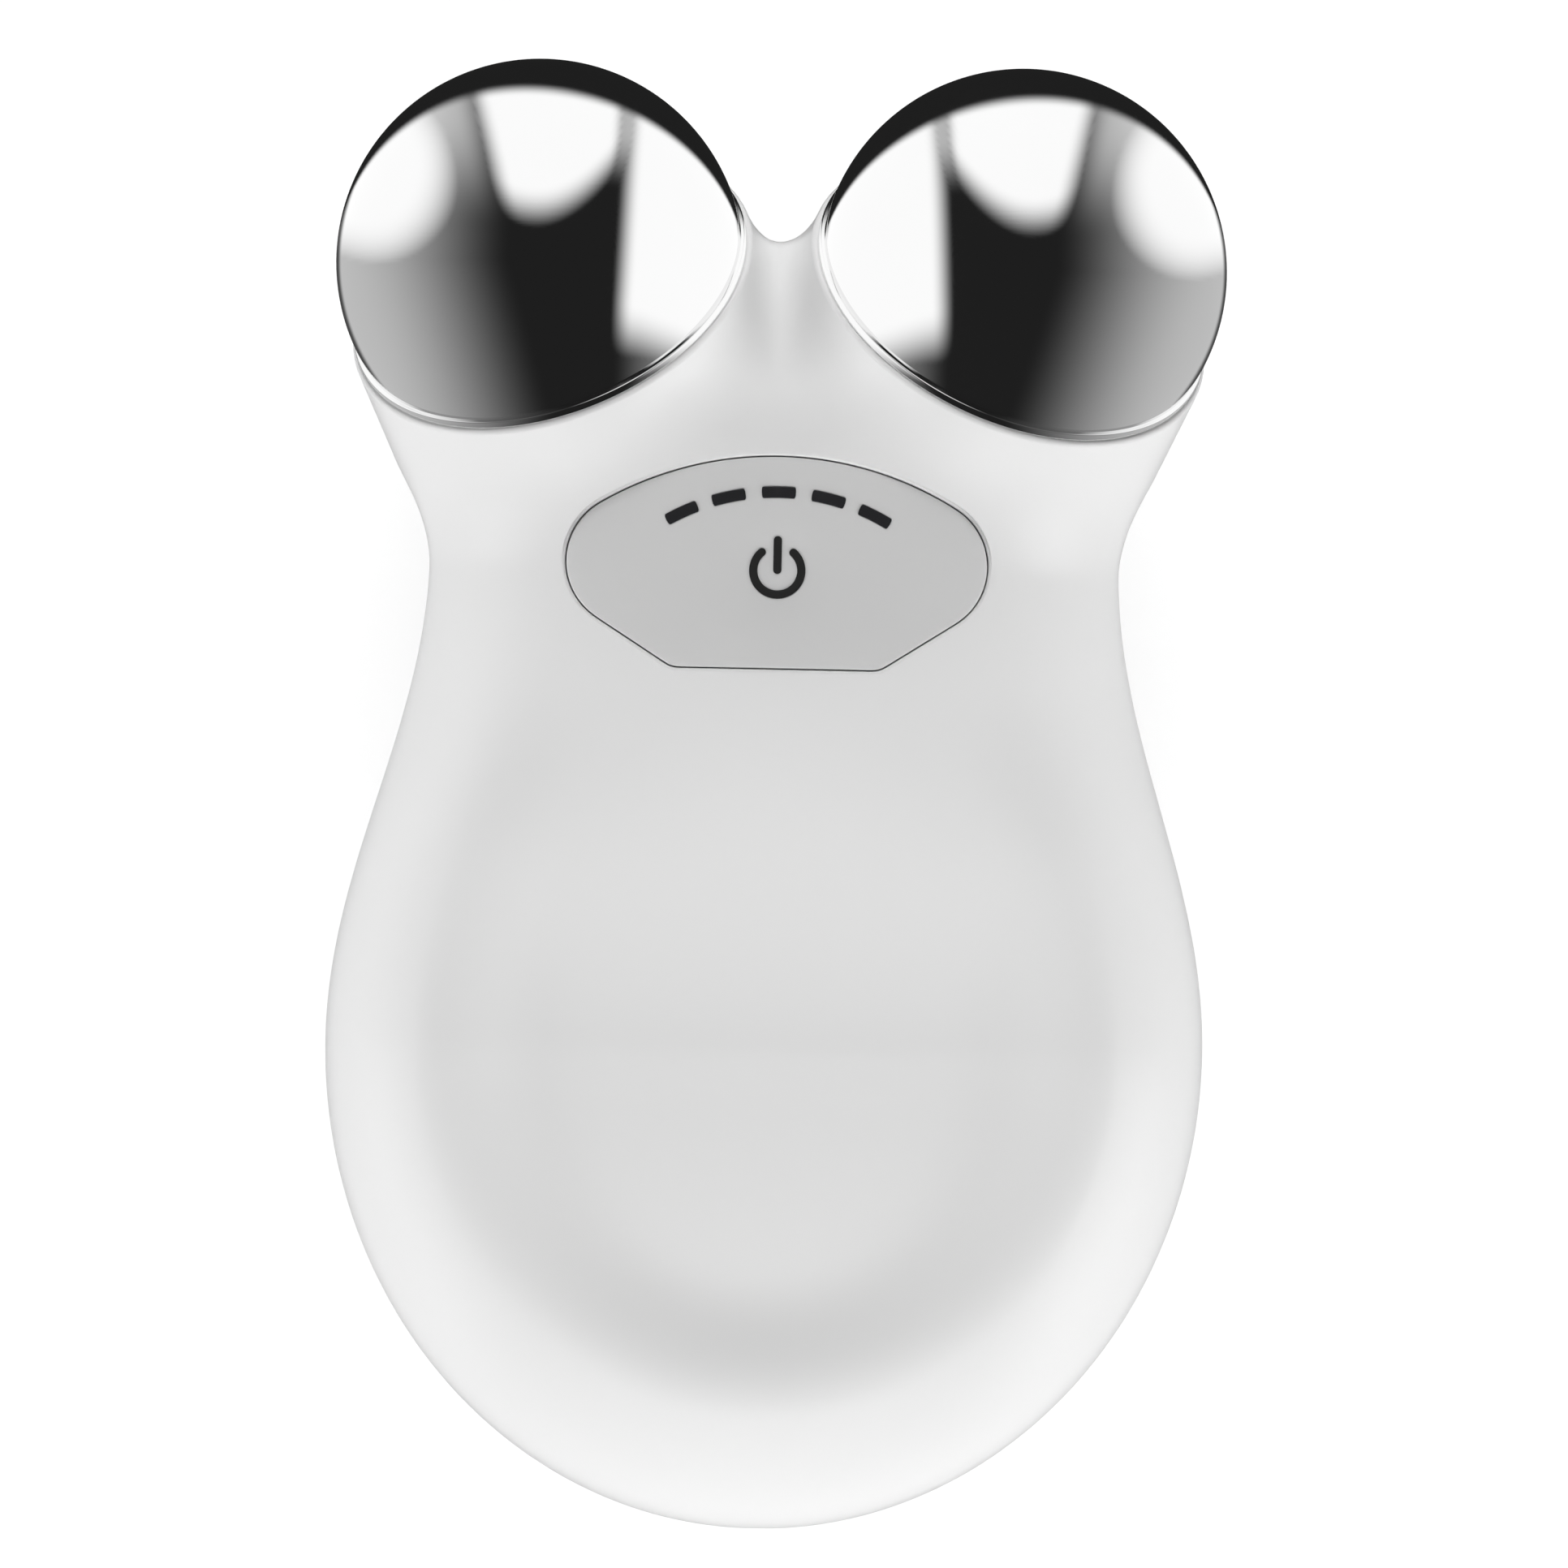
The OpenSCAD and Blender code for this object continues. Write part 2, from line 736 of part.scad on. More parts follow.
// Round lead swept along a route; side is a direction that no stretch follows
module wire(p, r, side) {
    c = route(p);
    n = len(c);
    points = [for (i = [0:n - 1])
        let (along = unit(c[min(i + 1, n - 1)] - c[max(i - 1, 0)]),
             u = unit(cross(along, side)),
             v = cross(along, u))
        for (k = [0:wire_sides - 1])
            c[i] + r * (u * cos(360 * k / wire_sides) + v * sin(360 * k / wire_sides))];
    m = wire_sides;
    skin = [for (i = [0:n - 2], k = [0:m - 1]) each [
        [i * m + k, (i + 1) * m + (k + 1) % m, i * m + (k + 1) % m],
        [i * m + k, (i + 1) * m + k, (i + 1) * m + (k + 1) % m]]];
    caps = [[for (k = [0:m - 1]) k], [for (k = [m - 1:-1:0]) (n - 1) * m + k]];
    polyhedron(points, concat(skin, caps), convexity = 8);
}

function mirrored(p) = [for (q = p) [-q[0], q[1], q[2]]];

module left_electrode_lead() {
    color("gray") seated() wire(mirrored(right_lead_route), wire_r, [1, 0, 0]);
}

module right_electrode_lead() {
    color("gray") seated() wire(right_lead_route, wire_r, [1, 0, 0]);
}

module key_panel() {
    color("lightgray") seated() difference() {
        union() {
            difference() {
                union() {
                    intersection() {
                        key_prism(0);
                        crown(0);
                    }
                    intersection() {
                        key_prism(key_flange);
                        crown(wall - flange_seat + slide_gap);
                    }
                }
                intersection() {
                    key_prism(-key_skirt);
                    crown(key_plate);
                }
                crown(key_deep);
            }
            post([0, symbol_at], plunger_r, plunger_end + press_gap, neck_z - key_plate / 2);
        }
        tall() window_bars(seat_gap);
        difference() {
            tall() symbol_shape(seat_gap);
            crown(symbol_deep + seat_gap);
        }
    }
}

module level_windows() {
    color("black") seated() {
        difference() {
            intersection() {
                tall() window_bars(0);
                crown(0);
            }
            crown(key_plate + seat_gap + window_deep / 2);
        }
        difference() {
            intersection() {
                tall() difference() {
                    translate([0, window_top - window_arc_r])
                        circle(r = window_arc_r + window_lip, $fn = 128);
                    translate([0, window_top - window_arc_r])
                        circle(r = window_arc_r - window_lip, $fn = 128);
                    translate([-slab / 2, window_top - window_arc_r - slab / 2])
                        square([slab, slab / 2 + window_arc_r * cos(guide_turn)]);
                }
                crown(key_plate + seat_gap);
            }
            crown(key_plate + seat_gap + window_deep);
        }
    }
}

module power_symbol() {
    color("black") seated() difference() {
        intersection() {
            tall() symbol_shape(0);
            crown(0);
        }
        crown(symbol_deep);
    }
}

module switch_body() {
    color("dimgray") seated() difference() {
        union() {
            block([-switch_w / 2, symbol_at - switch_w / 2, board_z],
                  [switch_w / 2, symbol_at + switch_w / 2, board_z + switch_h]);
            for (x = [-1, 1], y = [-1, 1])
                translate([x * (switch_w / 2 + pin_size[0] / 4), symbol_at + y * pin_at,
                           board_z + pin_size[2] / 2])
                    cube(pin_size, center = true);
        }
        post([0, symbol_at], plunger_r + press_gap, board_z + switch_h - plunger_in,
             board_z + switch_h + OVER);
    }
}

module switch_plunger() {
    color("black") seated()
        post([0, symbol_at], plunger_r,
             board_z + switch_h - plunger_in + key_travel + plunger_room, plunger_end);
}

module circuit_board() {
    color("darkgreen") seated() difference() {
        union() {
            block([-board_half_w, board_low, board_under], [board_half_w, board_top, board_z]);
            block([-tongue_half_w, board_top - 1, board_under], [tongue_half_w, tongue_top, board_z]);
        }
        for (at = board_holes)
            post(at, board_screw_r + hole_gap, board_under - OVER, board_z + OVER);
    }
}

module level_leds() {
    color("ivory") seated()
        for (turn = window_turns)
            translate([0, window_top - window_arc_r, board_z])
                rotate(-turn)
                    translate([-led_size[0] / 2, window_arc_r - led_size[1] / 2, 0])
                        cube(led_size);
}

module microcontroller() {
    color("black") seated() translate([chip_at[0], chip_at[1], board_under]) {
        translate([-chip_w / 2, -chip_w / 2, -chip_t])
            cube([chip_w, chip_w, chip_t - chip_stand]);
        for (turn = [0:90:270], i = [0:chip_pins - 1])
            rotate(turn)
                translate([chip_w / 2 - EPS, (i - (chip_pins - 1) / 2) * chip_pitch - chip_leg[1] / 2,
                           -chip_leg[2]])
                    cube(chip_leg);
    }
}

module output_coil() {
    color("saddlebrown") seated() translate([coil_at[0], coil_at[1], board_under - coil_h])
        rotate_extrude($fn = 64)
            union() {
                square([coil_r, coil_rim]);
                square([coil_r - coil_groove, coil_h]);
                translate([0, coil_h - coil_rim])
                    square([coil_r, coil_rim]);
            }
}

module buzzer() {
    color("dimgray") seated() difference() {
        post(buzzer_at, buzzer_r, board_under - buzzer_h, board_under);
        post(buzzer_at, buzzer_hole, board_under - buzzer_h - OVER, board_under - buzzer_h + OVER);
    }
}

module board_components() {
    color("tan") seated()
        for (p = small_parts)
            translate([p[0] - p[2] / 2, p[1] - p[3] / 2, board_under - p[4]])
                cube([p[2], p[3], p[4]]);
}

// Small screws: three hold the main board from below, two the charging board
// from above
module board_screws() {
    color("gainsboro") seated() {
        for (at = board_holes)
            translate([at[0], at[1], board_under])
                screw(board_screw_r, board_screw_len, board_head_r, board_head_h);
        for (at = charge_holes)
            translate([at[0], at[1], charge_z])
                rotate([180, 0, 0])
                    screw(board_screw_r, board_screw_len - 1, board_head_r, board_head_h);
    }
}

module battery_cell() {
    color("silver") seated()
        translate([0, cell_at, cell_z])
            rotate([-90, 0, 0])
                linear_extrude(cell_len)
                    union() {
                        translate([-cell_w / 2 + cell_corner, -cell_t])
                            square([cell_w - 2 * cell_corner, cell_t]);
                        translate([-cell_w / 2, -cell_t + cell_corner])
                            square([cell_w, cell_t - 2 * cell_corner]);
                        for (x = [-1, 1], y = [cell_corner, cell_t - cell_corner])
                            translate([x * (cell_w / 2 - cell_corner), -y])
                                circle(r = cell_corner, $fn = SMALL_FN);
                    }
}

module battery_pad() {
    color("dimgray") seated()
        block([-cell_w / 2 + pad_inset, cell_at + pad_inset - 1, wall],
              [cell_w / 2 - pad_inset, cell_at + cell_len - pad_inset + 1, cell_z]);
}

module battery_header() {
    color("ivory") seated() translate([header_at[0], header_at[1], board_under - header_h])
        difference() {
            translate([-header_w / 2, -header_d / 2, 0])
                cube([header_w, header_d, header_h]);
            translate([-header_w / 2 + header_wall, -header_d / 2 + header_wall, -header_floor])
                cube([header_w - 2 * header_wall, header_d - 2 * header_wall, header_h]);
        }
}

module battery_plug() {
    color("white") seated() translate([header_at[0], header_at[1], plug_z])
        translate([-header_w / 2 + header_wall + press_gap, -header_d / 2 + header_wall + press_gap, 0])
            cube([header_w - 2 * header_wall - 2 * press_gap,
                  header_d - 2 * header_wall - 2 * press_gap,
                  header_h - header_floor + plug_out - plug_foot]);
}

module battery_lead_red() {
    color("red") seated() wire(red_route, wire_r, [1, 0, 0]);
}

module battery_lead_black() {
    color("black") seated() wire(mirrored(red_route), wire_r, [1, 0, 0]);
}

module charge_board() {
    color("darkgreen") seated() difference() {
        block([-charge_half_w, charge_low, charge_z - charge_t], [charge_half_w, charge_top, charge_z]);
        for (at = charge_holes)
            post(at, board_screw_r + hole_gap, charge_z - charge_t - OVER, charge_z + OVER);
    }
}

module charge_components() {
    color("black") seated() {
        for (p = charge_parts)
            translate([p[0] - p[2] / 2, p[1] - p[3] / 2, charge_z])
                cube([p[2], p[3], p[4]]);
    }
}

module usb_port_shell() {
    color("silver") seated() difference() {
        block([-port_w / 2, port_at, charge_z], [port_w / 2, port_at + port_len, charge_z + port_h]);
        block([-port_w / 2 + port_wall, port_at - OVER, charge_z + port_wall],
              [port_w / 2 - port_wall, port_at + port_len - port_wall, charge_z + port_h - port_wall]);
    }
}

module usb_port_tongue() {
    color("black") seated() union() {
        block([-port_w / 2 + port_wall, port_at + port_len - tongue_base, charge_z + port_wall],
              [port_w / 2 - port_wall, port_at + port_len - port_wall, charge_z + port_h - port_wall]);
        block([-tongue_w / 2, port_at + tongue_set, charge_z + port_h / 2 - tongue_t / 2 + tongue_up],
              [tongue_w / 2, port_at + port_len - 1, charge_z + port_h / 2 + tongue_t / 2 + tongue_up]);
    }
}

module charge_leads() {
    color("red") seated()
        for (i = [0, 1])
            translate([i * charge_pitch, 0, 0])
                wire(charge_route, wire_r, [1, 0, 0]);
}

module case_screws() {
    color("gainsboro") seated()
        for (at = case_holes)
            translate([at[0], at[1], split_z(at[1]) - seat_back])
                screw(screw_r, screw_len, head_r, head_h);
}

front_shell();
rear_shell();
left_electrode();
right_electrode();
left_electrode_seal();
right_electrode_seal();
contact_screws();
ring_terminals();
left_electrode_lead();
right_electrode_lead();
key_panel();
level_windows();
power_symbol();
switch_body();
switch_plunger();
circuit_board();
level_leds();
microcontroller();
output_coil();
buzzer();
board_components();
board_screws();
battery_cell();
battery_pad();
battery_header();
battery_plug();
battery_lead_red();
battery_lead_black();
charge_board();
charge_components();
usb_port_shell();
usb_port_tongue();
charge_leads();
case_screws();
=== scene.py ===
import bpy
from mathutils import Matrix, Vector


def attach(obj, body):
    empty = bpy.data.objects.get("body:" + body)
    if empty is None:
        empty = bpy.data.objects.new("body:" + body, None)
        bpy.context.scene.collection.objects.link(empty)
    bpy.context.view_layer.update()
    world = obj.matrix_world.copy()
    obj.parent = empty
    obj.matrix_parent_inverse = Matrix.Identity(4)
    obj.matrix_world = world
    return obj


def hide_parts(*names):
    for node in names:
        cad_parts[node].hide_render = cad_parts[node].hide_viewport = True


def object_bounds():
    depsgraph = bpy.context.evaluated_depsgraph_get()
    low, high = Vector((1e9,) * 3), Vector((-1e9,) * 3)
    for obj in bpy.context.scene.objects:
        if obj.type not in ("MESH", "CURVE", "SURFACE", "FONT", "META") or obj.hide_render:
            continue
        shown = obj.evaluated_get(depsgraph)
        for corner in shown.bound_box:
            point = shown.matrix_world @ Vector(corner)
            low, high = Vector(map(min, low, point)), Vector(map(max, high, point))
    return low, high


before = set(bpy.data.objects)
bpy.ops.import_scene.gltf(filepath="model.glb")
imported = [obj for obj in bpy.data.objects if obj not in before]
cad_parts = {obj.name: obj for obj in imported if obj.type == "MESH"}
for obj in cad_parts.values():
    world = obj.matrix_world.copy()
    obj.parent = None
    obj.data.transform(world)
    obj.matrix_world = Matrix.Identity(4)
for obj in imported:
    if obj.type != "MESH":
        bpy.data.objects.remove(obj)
CAD_BOX = [list(corner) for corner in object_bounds()]

import math

import bpy
import numpy as np
from bpy.props import FloatProperty, FloatVectorProperty, PointerProperty
from mathutils import Matrix, Vector

bl_info = {
    "name": "Facial Toning Device",
    "version": (1, 0, 0),
    "blender": (4, 5, 0),
    "location": "3D Viewport > Sidebar > Toning Device",
    "description": "Builds the looks of a two-electrode facial toning device around its CAD frame",
    "category": "Object",
}

MM = 0.001

# The case in millimetres. Lengths run from the nose tip, x is across the case
# and z is up from the surface it lies on.
MID_AT = 50.0
WIDEST_AT, WAIST_AT, HEAD_LEN = 33.0, 66.6, 21.0
SPLIT_Z, SPLIT_SLOPE = 11.0, math.tan(math.radians(5.14))
FRONT_Z, NECK_Z, CREST_AT = 27.4, 30.0, 62.0
FLAT_CUT, NECK_BACK_Z, RISE_FROM, RISE_TO, SADDLE_RISE = 0.8, 2.5, 50.0, 70.0, 9.0
SADDLE_AT = WAIST_AT + HEAD_LEN
FRONT_POWER, NECK_POWER, BACK_POWER = 2.4, 2.0, 2.4
HEEL_SLOPE, HEEL_CUT, HEEL_SOFT = math.radians(25.6), 0.8, 2.2
DISH_INSET, DISH_LOW, DISH_WALL, DISH_BOWL = 6.0, 7.8, 0.38, 0.15
FADE_FROM, FADE_TO = 28.0, 61.0
BOX_ROOM = 0.001
SCOOP_AT, SCOOP_SLOPE, SCOOP_R = 75.7, math.radians(38.6), 13.6

# Electrodes and their collars
BALL_X, BALL_AT, BALL_Z = 16.4, 86.15, 23.0
LEAN, RISE = math.radians(24.5), math.radians(38.0)
RIM_BACK, COLLAR_LEN, COLLAR_LIP, COLLAR_WALL = 2.5, 8.0, 0.45, 1.9
DOME_WALL, SPIGOT_PLAY, WEB_BACK, FLANGE_OUT, FLANGE_HIGH = 1.2, 0.1, 5.2, 0.15, 0.6

# Key
KEY_W, KEY_END_R, KEY_LOW, KEY_TOP, KEY_ARC_R = 28.5, 4.5, 58.9, 73.17, 23.5
KEY_CHAMFER = math.radians(57.5)
KEY_CENTRE = np.array([0.0, 65.5])
WINDOW_ARC_R, WINDOW_TOP, WINDOW_W, WINDOW_H = 15.0, 70.8, 2.3, 0.78
WINDOW_TURNS = (-25.8, -13.0, 0.0, 13.0, 25.8)
WINDOW_BLUNT = 0.45
SYMBOL_R, SYMBOL_STROKE, SYMBOL_OPEN = 1.9, 0.55, 34.0

# What the shells carry inside
CASE_HOLES = ((-18.6, 28.0), (18.6, 28.0), (-16.5, 61.0), (16.5, 61.0))
BOARD_HOLES = ((-10.8, 55.2), (10.8, 55.2), (0.0, 76.4))
CHARGE_HOLES = ((-4.5, 14.0), (4.5, 14.0))
SEAT_BACK, HEAD_R, HEAD_H, SHANK_R, SCREW_LEN = 6.0, 1.8, 1.6, 1.0, 12.0
SMALL_HOLE_R = 0.82
PORT_W, PORT_H, PORT_AT, PORT_LEN, PORT_Z, PORT_PLAY = 7.5, 2.5, 1.5, 6.0, 7.7, 0.15

# Painted reflection sheets, in millimetres
PAINTED_SHEET_R, PAINTED_SHEET_FLOOR, PAINTED_SHEET_ROWS, PAINTED_SHEET_TURNS = 500.0, 0.5, 110, 240


# ---------------------------------------------------------------- mesh tools

def link(name, mesh):
    obj = bpy.data.objects.new(name, mesh)
    bpy.context.scene.collection.objects.link(obj)
    return obj


def solid(name, verts, faces):
    """A closed mesh in millimetres, its faces turned outward."""
    verts = np.asarray(verts, float)
    volume = sum(
        float(np.dot(verts[f[0]], np.cross(verts[f[i]], verts[f[i + 1]])))
        for f in faces for i in range(1, len(f) - 1))
    if volume < 0:
        faces = [tuple(reversed(f)) for f in faces]
    mesh = bpy.data.meshes.new(name)
    mesh.from_pydata(verts.tolist(), [], [tuple(int(i) for i in f) for f in faces])
    mesh.validate()
    return link(name, mesh)


def loft(name, rings, caps=True, closed=False):
    """Closed rings of equal length, skinned in order, with end caps."""
    rings = np.asarray(rings, float)
    n, m = rings.shape[:2]
    faces = []
    for i in range(n if closed else n - 1):
        a, b = i * m, ((i + 1) % n) * m
        faces += [(a + j, a + (j + 1) % m, b + (j + 1) % m, b + j) for j in range(m)]
    if caps and not closed:
        faces += [tuple(range(m - 1, -1, -1)), tuple(range((n - 1) * m, n * m))]
    return solid(name, rings.reshape(-1, 3), faces)


def lathe(name, profile, steps=128):
    """Turned solid round +Z from (radius, height) points; ends on the axis."""
    verts, rings, faces = [], [], []
    turn = np.linspace(0, 2 * math.pi, steps, endpoint=False)
    for r, h in profile:
        if r < 1e-6:
            rings.append([len(verts)])
            verts.append((0, 0, h))
        else:
            rings.append(list(range(len(verts), len(verts) + steps)))
            verts += list(zip(r * np.cos(turn), r * np.sin(turn), np.full(steps, h)))
    for low, high in zip(rings, rings[1:]):
        for j in range(steps):
            k = (j + 1) % steps
            quad = [low[j % len(low)], low[k % len(low)], high[k % len(high)], high[j % len(high)]]
            face = tuple(dict.fromkeys(quad))
            if len(face) > 2:
                faces.append(face)
    return solid(name, verts, faces)


def block(name, low, high, round_by=0.0):
    """Box along Y, its four long edges rounded."""
    (x0, y0, z0), (x1, y1, z1) = low, high
    r = round_by
    if r <= 0:
        ring = [(x0, z0), (x1, z0), (x1, z1), (x0, z1)]
    else:
        corners = ((x1 - r, z0 + r, -90), (x1 - r, z1 - r, 0), (x0 + r, z1 - r, 90), (x0 + r, z0 + r, 180))
        ring = [point for cx, cz, a in corners for point in arc(cx, cz, r, a, a + 90, 6)]
    return loft(name, [[(x, y, z) for x, z in ring] for y in (y0, y1)])


def post(name, at, radius, z0, z1, steps=48):
    obj = lathe(name, [(0, z0), (radius, z0), (radius, z1), (0, z1)], steps)
    obj.data.transform(Matrix.Translation((at[0], at[1], 0)))
    return obj


def carve(obj, *steps):
    """Applies (operation, tool) pairs in order and removes the tools."""
    tools = []
    for operation, tool in steps:
        mod = obj.modifiers.new(operation.lower(), "BOOLEAN")
        mod.operation, mod.solver, mod.object = operation, "MANIFOLD", tool
        tools.append(tool)
    bpy.context.view_layer.update()
    shape = obj.evaluated_get(bpy.context.evaluated_depsgraph_get())
    mesh = bpy.data.meshes.new_from_object(shape)
    obj.modifiers.clear()
    if not mesh.polygons:
        raise RuntimeError(f"carving {obj.name} left nothing")
    old, obj.data = obj.data, mesh
    bpy.data.meshes.remove(old)
    for tool in set(tools):
        bpy.data.objects.remove(tool)
    return obj


def copy_of(obj, name):
    return link(name, obj.data.copy())


def shade(obj, angle=35.0):
    obj.data.shade_smooth()
    obj.data.set_sharp_from_angle(angle=math.radians(angle))
    return obj


def place(obj, name):
    """From millimetres along the case to metres in the frame."""
    obj.data.transform(Matrix.Scale(MM, 4) @ Matrix.Translation((0, -MID_AT, 0)))
    obj.name = name
    obj.data.name = name
    return obj


def dress(obj, material):
    obj.data.materials.clear()
    obj.data.materials.append(material)
    return obj


def hand_over(obj, name, material, body, node=None, angle=30):
    """Finishes a piece and sets it in the frame on its body."""
    shade(obj, angle)
    place(obj, name)
    dress(obj, material)
    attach(obj, body)
    if node:
        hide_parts(node)


# ---------------------------------------------------------------- case shape

def ease(t):
    return (1 - np.cos(math.pi * np.clip(t, 0, 1))) / 2


def mix(a, b, t):
    return a + (b - a) * t


def span(v, low, high):
    """0 at low and 1 at high, with soft ends."""
    return ease((v - low) / (high - low))


def signed_pow(v, p):
    return np.sign(v) * np.abs(v) ** p


def smooth_min(a, b, k):
    """Smooth minimum and the share of b in it."""
    h = np.maximum(k - np.abs(a - b), 0) / k
    return np.minimum(a, b) - h * h * k / 4, np.where(a < b, h / 2, 1 - h / 2)


def arc(cx, cy, r, start, end, steps):
    """Points round a centre, angles in degrees."""
    t = np.radians(np.linspace(start, end, steps + 1))
    return list(zip(cx + r * np.cos(t), cy + r * np.sin(t)))


class CaseShape:
    """The outside of the case, in millimetres, from the sizes in the panel."""

    def __init__(self, scene):
        case, tip = scene.toning_case, scene.toning_electrodes
        self.wide, self.waist = case.width / MM, case.waist / MM
        self.dish_depth, self.blend, self.soft = case.dish_depth / MM, case.blend / MM, case.crease / MM
        self.wall, self.seam, self.step = case.wall / MM, case.seam / MM, case.mesh_step / MM
        self.ball_r = tip.radius / MM
        self.collar_r = self.ball_r + COLLAR_LIP
        self.bore_r = self.collar_r - COLLAR_WALL

    def split(self, s):
        return SPLIT_Z + s * SPLIT_SLOPE

    def broad(self, s):
        """Half width before the two ends close."""
        return mix(self.wide, self.waist, ease((s - WIDEST_AT) / (WAIST_AT - WIDEST_AT))) / 2

    def front(self, s):
        s = np.maximum(s, WIDEST_AT)
        return mix(FRONT_Z, NECK_Z, ease((s - WIDEST_AT) / (CREST_AT - WIDEST_AT))) - self.split(s)

    def back(self, s):
        s = np.maximum(s, WIDEST_AT)
        saddle = SADDLE_RISE * (1 - np.cos(math.pi / 2 * np.maximum(s - RISE_TO, 0) / (SADDLE_AT - RISE_TO)))
        base = mix(-FLAT_CUT, NECK_BACK_Z, ease((s - RISE_FROM) / (RISE_TO - RISE_FROM)))
        return self.split(s) - base - saddle

    def front_power(self, s):
        return mix(FRONT_POWER, NECK_POWER, ease((s - 45) / 13))

    def dish(self, x, s):
        """Depth of the thumb dish at a point of the front face."""
        along = np.maximum(WIDEST_AT - s, 0) / (WIDEST_AT - DISH_LOW)
        out = np.sqrt((x / np.maximum(self.broad(s) - DISH_INSET, 1)) ** 2 + along ** 2)
        fade = 1 - ease((s - FADE_FROM) / (FADE_TO - FADE_FROM))
        bowl = np.maximum(1 - out * out, 0) ** 1.5
        return self.dish_depth * fade * mix(ease((1 - out) / DISH_WALL), bowl, DISH_BOWL)

    def body(self, p):
        """Field of the gourd alone: below zero inside, and not yet in millimetres."""
        x, s, z = p
        u = np.where(s < WIDEST_AT, (WIDEST_AT - s) / WIDEST_AT, np.maximum(s - WAIST_AT, 0) / HEAD_LEN)
        room = 1 - u * u
        a = np.abs(x) / self.broad(s)
        dz = z - self.split(s)
        up = dz > 0
        b = np.where(up, np.maximum(dz + self.dish(x, s), 0) / self.front(s), -dz / self.back(s))
        b = b * np.where(s > WAIST_AT, np.sqrt(np.maximum(room, 0)), 1)
        power = np.where(up, self.front_power(s), BACK_POWER)
        return ((a ** power + b ** power + 1e-12) ** (2 / power) - room) / 2

    def scoop(self, p):
        """Distance into the round ramp between the collars, and its gradient."""
        x, s, z = p
        n = np.array([0.0, math.sin(SCOOP_SLOPE), math.cos(SCOOP_SLOPE)])
        h = (s - SCOOP_AT) * n[1] + (z - NECK_Z) * n[2] - SCOOP_R
        low = np.minimum(h, 0)
        r = np.sqrt(x * x + low * low) + 1e-9
        return SCOOP_R - r, -np.array([x / r, low / r * n[1], low / r * n[2]])

    def collar(self, p, side):
        """Distance to one collar, run on past its rim, and its gradient."""
        centre = np.array([side * BALL_X, BALL_AT, BALL_Z])
        flat = math.cos(RISE)
        d = np.array([side * math.sin(LEAN) * flat, math.cos(LEAN) * flat, math.sin(RISE)])
        q = p - (centre - d * (RIM_BACK + COLLAR_LEN))[:, None]
        t = np.maximum(d @ q, 0)
        off = q - d[:, None] * t
        r = np.sqrt((off ** 2).sum(0)) + 1e-9
        top = COLLAR_LEN + 2.2
        side_d, end_d = r - self.collar_r, t - top
        over = end_d > side_d
        return np.where(over, end_d, side_d), np.where(over, d[:, None] * np.ones_like(r), off / r)

    def outside(self, p, body, slope):
        """Everything joined: distance in millimetres and direction outward."""
        out = np.array([0.0, math.cos(HEEL_SLOPE), -math.sin(HEEL_SLOPE)])
        heel = out @ p - out @ (0, SADDLE_AT, NECK_BACK_Z + SADDLE_RISE) + HEEL_CUT
        m, share = smooth_min(-body, -heel, HEEL_SOFT)
        value, grad = -m, mix(slope, out[:, None], share)
        cut, cut_grad = self.scoop(p)
        m, share = smooth_min(-value, -cut, self.soft)
        value, grad = -m, mix(grad, cut_grad, share)
        for side in (-1, 1):
            near, near_grad = self.collar(p, side)
            value, share = smooth_min(value, near, self.blend)
            grad = mix(grad, near_grad, share)
        m, share = smooth_min(-value, p[2], 0.5)
        return -m, mix(grad, np.array([[0.0], [0.0], [-1.0]]), share)

    def exact(self, p):
        """Distance and unit normal at any points, by small steps."""
        e = 0.01
        f = self.body(p)
        steps = np.eye(3)[:, :, None] * e
        slope = np.array([self.body(p + step) - self.body(p - step) for step in steps]) / (2 * e)
        size = np.sqrt((slope ** 2).sum(0)) + 1e-9
        value, grad = self.outside(p, f / size, slope / size)
        return value, grad / (np.sqrt((grad ** 2).sum(0)) + 1e-9)

    def skin(self):
        """Vertices and faces of the whole outside, laid on it exactly."""
        step = self.step
        low = np.array([-31.0, -1.0, -1.0])
        counts = np.ceil((np.array([31.0, 97.5, 35.5]) - low) / step).astype(int) + 1
        axes = [low[k] + step * (np.arange(counts[k]) + 0.37) for k in range(3)]
        grid = np.array(np.meshgrid(*axes, indexing="ij"))
        flat = grid.reshape(3, -1)
        f = self.body(flat).reshape(counts)
        slope = np.array(np.gradient(f, step))
        size = np.sqrt((slope ** 2).sum(0)) + 1e-9
        value, _ = self.outside(flat, (f / size).ravel(), (slope / size).reshape(3, -1))
        verts, faces = surface_net(value.reshape(counts), axes, step)
        p = verts.T
        for _ in range(5):
            value, normal = self.exact(p)
            p = p - normal * np.clip(value, -0.3, 0.3)
        return p.T, faces

    def face_z(self, x, s):
        """Height of the front face at the neck, where the key lies."""
        u = np.maximum(s - WAIST_AT, 0) / HEAD_LEN
        wide = self.broad(s) * np.sqrt(np.maximum(1 - u * u, 0))
        power = self.front_power(s)
        return (self.split(s) - self.dish(x, s)
                + self.front(s) * np.maximum(1 - np.abs(x / wide) ** power, 0) ** (1 / power))

